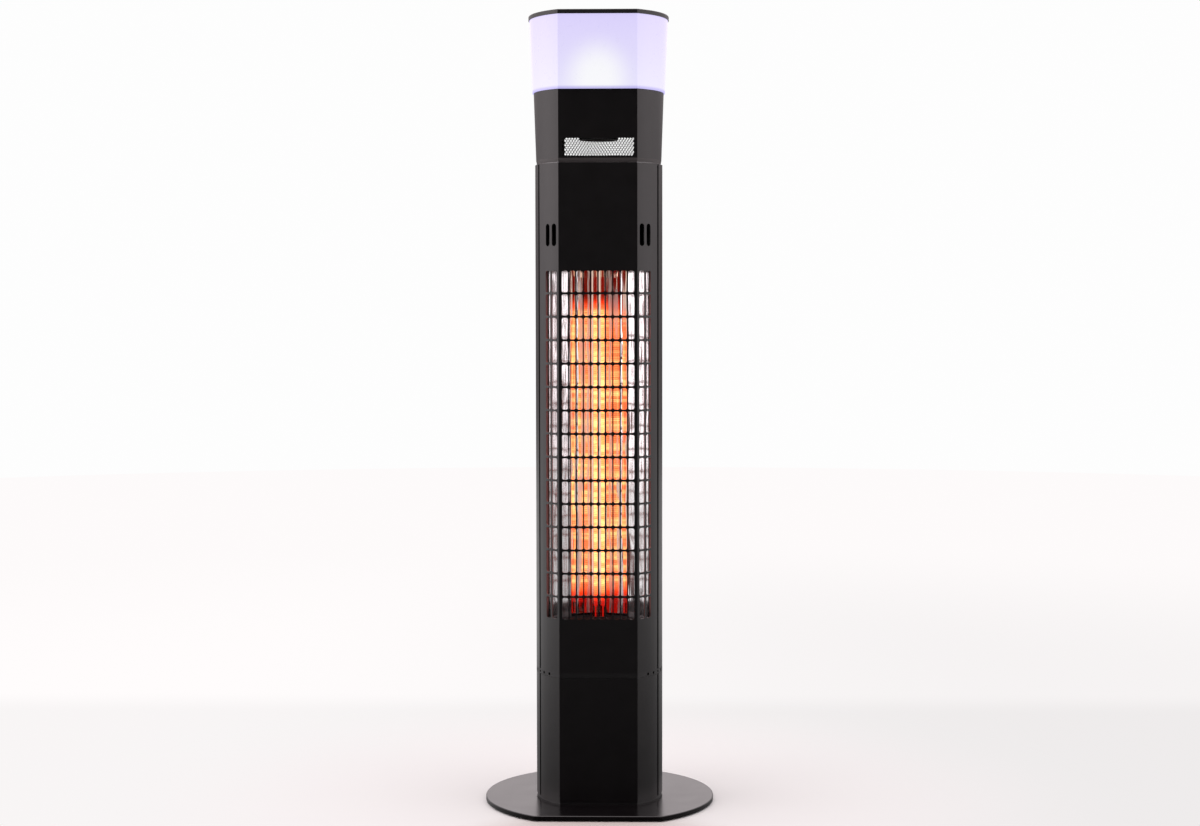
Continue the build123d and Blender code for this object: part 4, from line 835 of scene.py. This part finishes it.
rims = (reflector_low.z, reflector_low.z + short_length)
free = mirror_sheet.vertex_groups.new(name="free_to_dent")
for vertex in mirror_sheet.data.vertices:
    from_rim = min(abs(vertex.co.z - rim) for rim in rims) * dent_stretch
    from_tip = wing_tip.x - abs(vertex.co.x)
    share = min(1.0, from_rim / steady_rim) * min(1.0, from_tip / steady_tip)
    free.add([vertex.index], share, "REPLACE")
clouds = bpy.data.textures.new("slow_dents", "CLOUDS")
clouds.noise_scale = dent_size
clouds.noise_depth = 1
dents = mirror_sheet.modifiers.new("dents", "DISPLACE")
dents.texture = clouds
dents.texture_coords = "LOCAL"
dents.direction = "Y"
dents.mid_level = 0.5
dents.strength = dent_depth
dents.vertex_group = free.name
bpy.ops.object.modifier_apply(modifier=dents.name)
bpy.ops.object.mode_set(mode="EDIT")
bpy.ops.mesh.select_all(action="SELECT")
bpy.ops.transform.resize(
    value=(1.0, 1.0, dent_stretch), center_override=(0.0, 0.0, reflector_low.z)
)
bpy.ops.mesh.normals_make_consistent(inside=False)
bpy.ops.object.mode_set(mode="OBJECT")
thickness = mirror_sheet.modifiers.new("sheet", "SOLIDIFY")
thickness.thickness = sheet_thickness
thickness.offset = 0.0
bpy.ops.object.modifier_apply(modifier=thickness.name)
bpy.ops.object.shade_smooth_by_angle(angle=math.radians(40))
mirror_sheet.data.materials.clear()
mirror_sheet.data.materials.append(finishes["polished_aluminium"])
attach(mirror_sheet, "tower")
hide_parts("reflector")
print("reflector:", len(mirror_sheet.data.polygons), "faces")

# %% [markdown]
# ## Heating ribbons
#
# Each quartz tube holds a ribbon that is wound like a spring, with a straight pin at each end. A
# small flat profile is swept round the tube's axis by the screw modifier.

# %% Ribbons
element_low, element_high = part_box("heating_elements")
tube_x, tube_y = 0.0052, -0.008
coil_bottom, coil_top = 0.276, 0.738
coil_radius, coil_turns, coil_steps = 0.0026, 154, 12
ribbon_thickness, ribbon_width = 0.0005, 0.0024
pin_radius, pin_overlap = 0.001, 0.002
pin_spans = ((element_low.z, coil_bottom + pin_overlap), (coil_top - pin_overlap, element_high.z))
bpy.ops.object.select_all(action="DESELECT")
ribbon_parts = []
for side in (-1, 1):
    bpy.ops.mesh.primitive_plane_add(size=1.0)
    ribbon = bpy.context.object
    bpy.ops.object.mode_set(mode="EDIT")
    bpy.ops.mesh.select_all(action="SELECT")
    bpy.ops.transform.rotate(value=math.pi / 2, orient_axis="X", center_override=(0, 0, 0))
    bpy.ops.transform.resize(
        value=(ribbon_thickness, 1.0, ribbon_width), center_override=(0, 0, 0)
    )
    bpy.ops.transform.translate(value=(coil_radius, 0.0, coil_bottom))
    bpy.ops.object.mode_set(mode="OBJECT")
    winding = ribbon.modifiers.new("winding", "SCREW")
    winding.axis = "Z"
    winding.screw_offset = (coil_top - coil_bottom) / coil_turns
    winding.iterations = coil_turns
    winding.steps = coil_steps
    winding.render_steps = coil_steps
    winding.use_smooth_shade = True
    bpy.ops.object.modifier_apply(modifier=winding.name)
    bpy.ops.object.mode_set(mode="EDIT")
    bpy.ops.mesh.select_all(action="SELECT")
    bpy.ops.transform.translate(value=(side * tube_x, tube_y, 0.0))
    bpy.ops.object.mode_set(mode="OBJECT")
    ribbon_parts.append(ribbon)
    for low, high in pin_spans:
        bpy.ops.mesh.primitive_cylinder_add(vertices=20, radius=pin_radius, depth=1.0)
        bpy.ops.object.mode_set(mode="EDIT")
        bpy.ops.mesh.select_all(action="SELECT")
        bpy.ops.transform.resize(value=(1.0, 1.0, high - low), center_override=(0, 0, 0))
        bpy.ops.transform.translate(value=(side * tube_x, tube_y, (low + high) / 2))
        bpy.ops.object.mode_set(mode="OBJECT")
        ribbon_parts.append(bpy.context.object)
for piece in ribbon_parts:
    piece.select_set(True)
bpy.context.view_layer.objects.active = ribbon_parts[0]
bpy.ops.object.join()
ribbons = bpy.context.object
ribbons.name = "wound_ribbons"
bpy.ops.object.shade_smooth_by_angle(angle=math.radians(40))
ribbons.data.materials.clear()
ribbons.data.materials.append(finishes["element_alloy"])
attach(ribbons, "tower")
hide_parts("heating_elements")
print("ribbons:", len(ribbons.data.polygons), "faces")

# %% [markdown]
# ## Marks on the keys
#
# The keys and the mains rocker carry plain printed signs: heat waves, a small sun, plus, minus, a
# line for on and a ring for off. Each sign is thin raised ink, and it moves with its own key.

# %% Marks
ink_thickness, stroke = 0.0003, 0.0005
wave_gap, wave_length, wave_lean, wave_overlap = 0.0014, 0.0016, math.radians(20), 0.03
ring_radius, ray_radius, ray_length = 0.0009, 0.0021, 0.0009
sign_length = 0.0036
# The middle of each half of the rocker's face, and how far that half leans back.
rocker_on = (Vector((0.028, 0.07463, 0.84971)), math.radians(-4.7))
rocker_off = (Vector((0.028, 0.07591, 0.84161)), math.radians(22.7))
heat_waves = [
    (x, half * wave_length * (0.5 - wave_overlap), wave_length, math.pi / 2 + half * wave_lean)
    for x in (-wave_gap, 0.0, wave_gap)
    for half in (-1, 1)
]
sun_rays = [
    (ray_radius * math.cos(turn), ray_radius * math.sin(turn), ray_length, turn)
    for turn in (math.radians(45 * count) for count in range(8))
]
flat_bar = (0.0, 0.0, sign_length, 0.0)
upright_bar = (0.0, 0.0, sign_length, math.pi / 2)


def key_face(name):
    """The middle of a key's outer face, which looks backwards."""
    low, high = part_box(name)
    return Vector(((low.x + high.x) / 2, high.y, (low.z + high.z) / 2))


def printed_mark(name, body, bars, ring, place, lean):
    """Raised ink on a face at a place, leant back. Bars are (x, z, length, turn)."""
    bpy.ops.object.select_all(action="DESELECT")
    bpy.ops.mesh.primitive_torus_add(
        major_radius=ring or ring_radius,
        minor_radius=stroke / 2,
        major_segments=32,
        minor_segments=8,
    )
    mark = bpy.context.object
    mark.name = name
    bpy.ops.object.mode_set(mode="EDIT")
    bpy.ops.mesh.select_all(action="SELECT")
    if ring:
        bpy.ops.transform.rotate(value=math.pi / 2, orient_axis="X", center_override=(0, 0, 0))
        bpy.ops.transform.resize(
            value=(1.0, ink_thickness / stroke, 1.0), center_override=(0, 0, 0)
        )
    else:
        bpy.ops.mesh.delete(type="VERT")
    for x, z, length, turn in bars:
        bpy.ops.mesh.select_all(action="DESELECT")
        bpy.ops.mesh.primitive_cube_add(size=1.0)
        bpy.ops.transform.resize(value=(length, ink_thickness, stroke), center_override=(0, 0, 0))
        bpy.ops.transform.rotate(value=turn, orient_axis="Y", center_override=(0, 0, 0))
        bpy.ops.transform.translate(value=(x, 0.0, z))
    bpy.ops.mesh.select_all(action="SELECT")
    bpy.ops.transform.rotate(value=-lean, orient_axis="X", center_override=(0, 0, 0))
    bpy.ops.transform.translate(value=place)
    bpy.ops.mesh.normals_make_consistent(inside=False)
    bpy.ops.object.mode_set(mode="OBJECT")
    mark.data.materials.clear()
    mark.data.materials.append(finishes["mark_ink"])
    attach(mark, body)


for body, bars, ring in (
    ("heat_button", heat_waves, None),
    ("light_button", sun_rays, ring_radius),
    ("volume_up_button", [flat_bar, upright_bar], None),
    ("volume_down_button", [flat_bar], None),
):
    printed_mark(body + "_mark", body, bars, ring, key_face(body), 0.0)
printed_mark("rocker_on_mark", "power_rocker", [upright_bar], None, *rocker_on)
printed_mark("rocker_off_mark", "power_rocker", [], sign_length / 2, *rocker_off)
print("six printed marks")
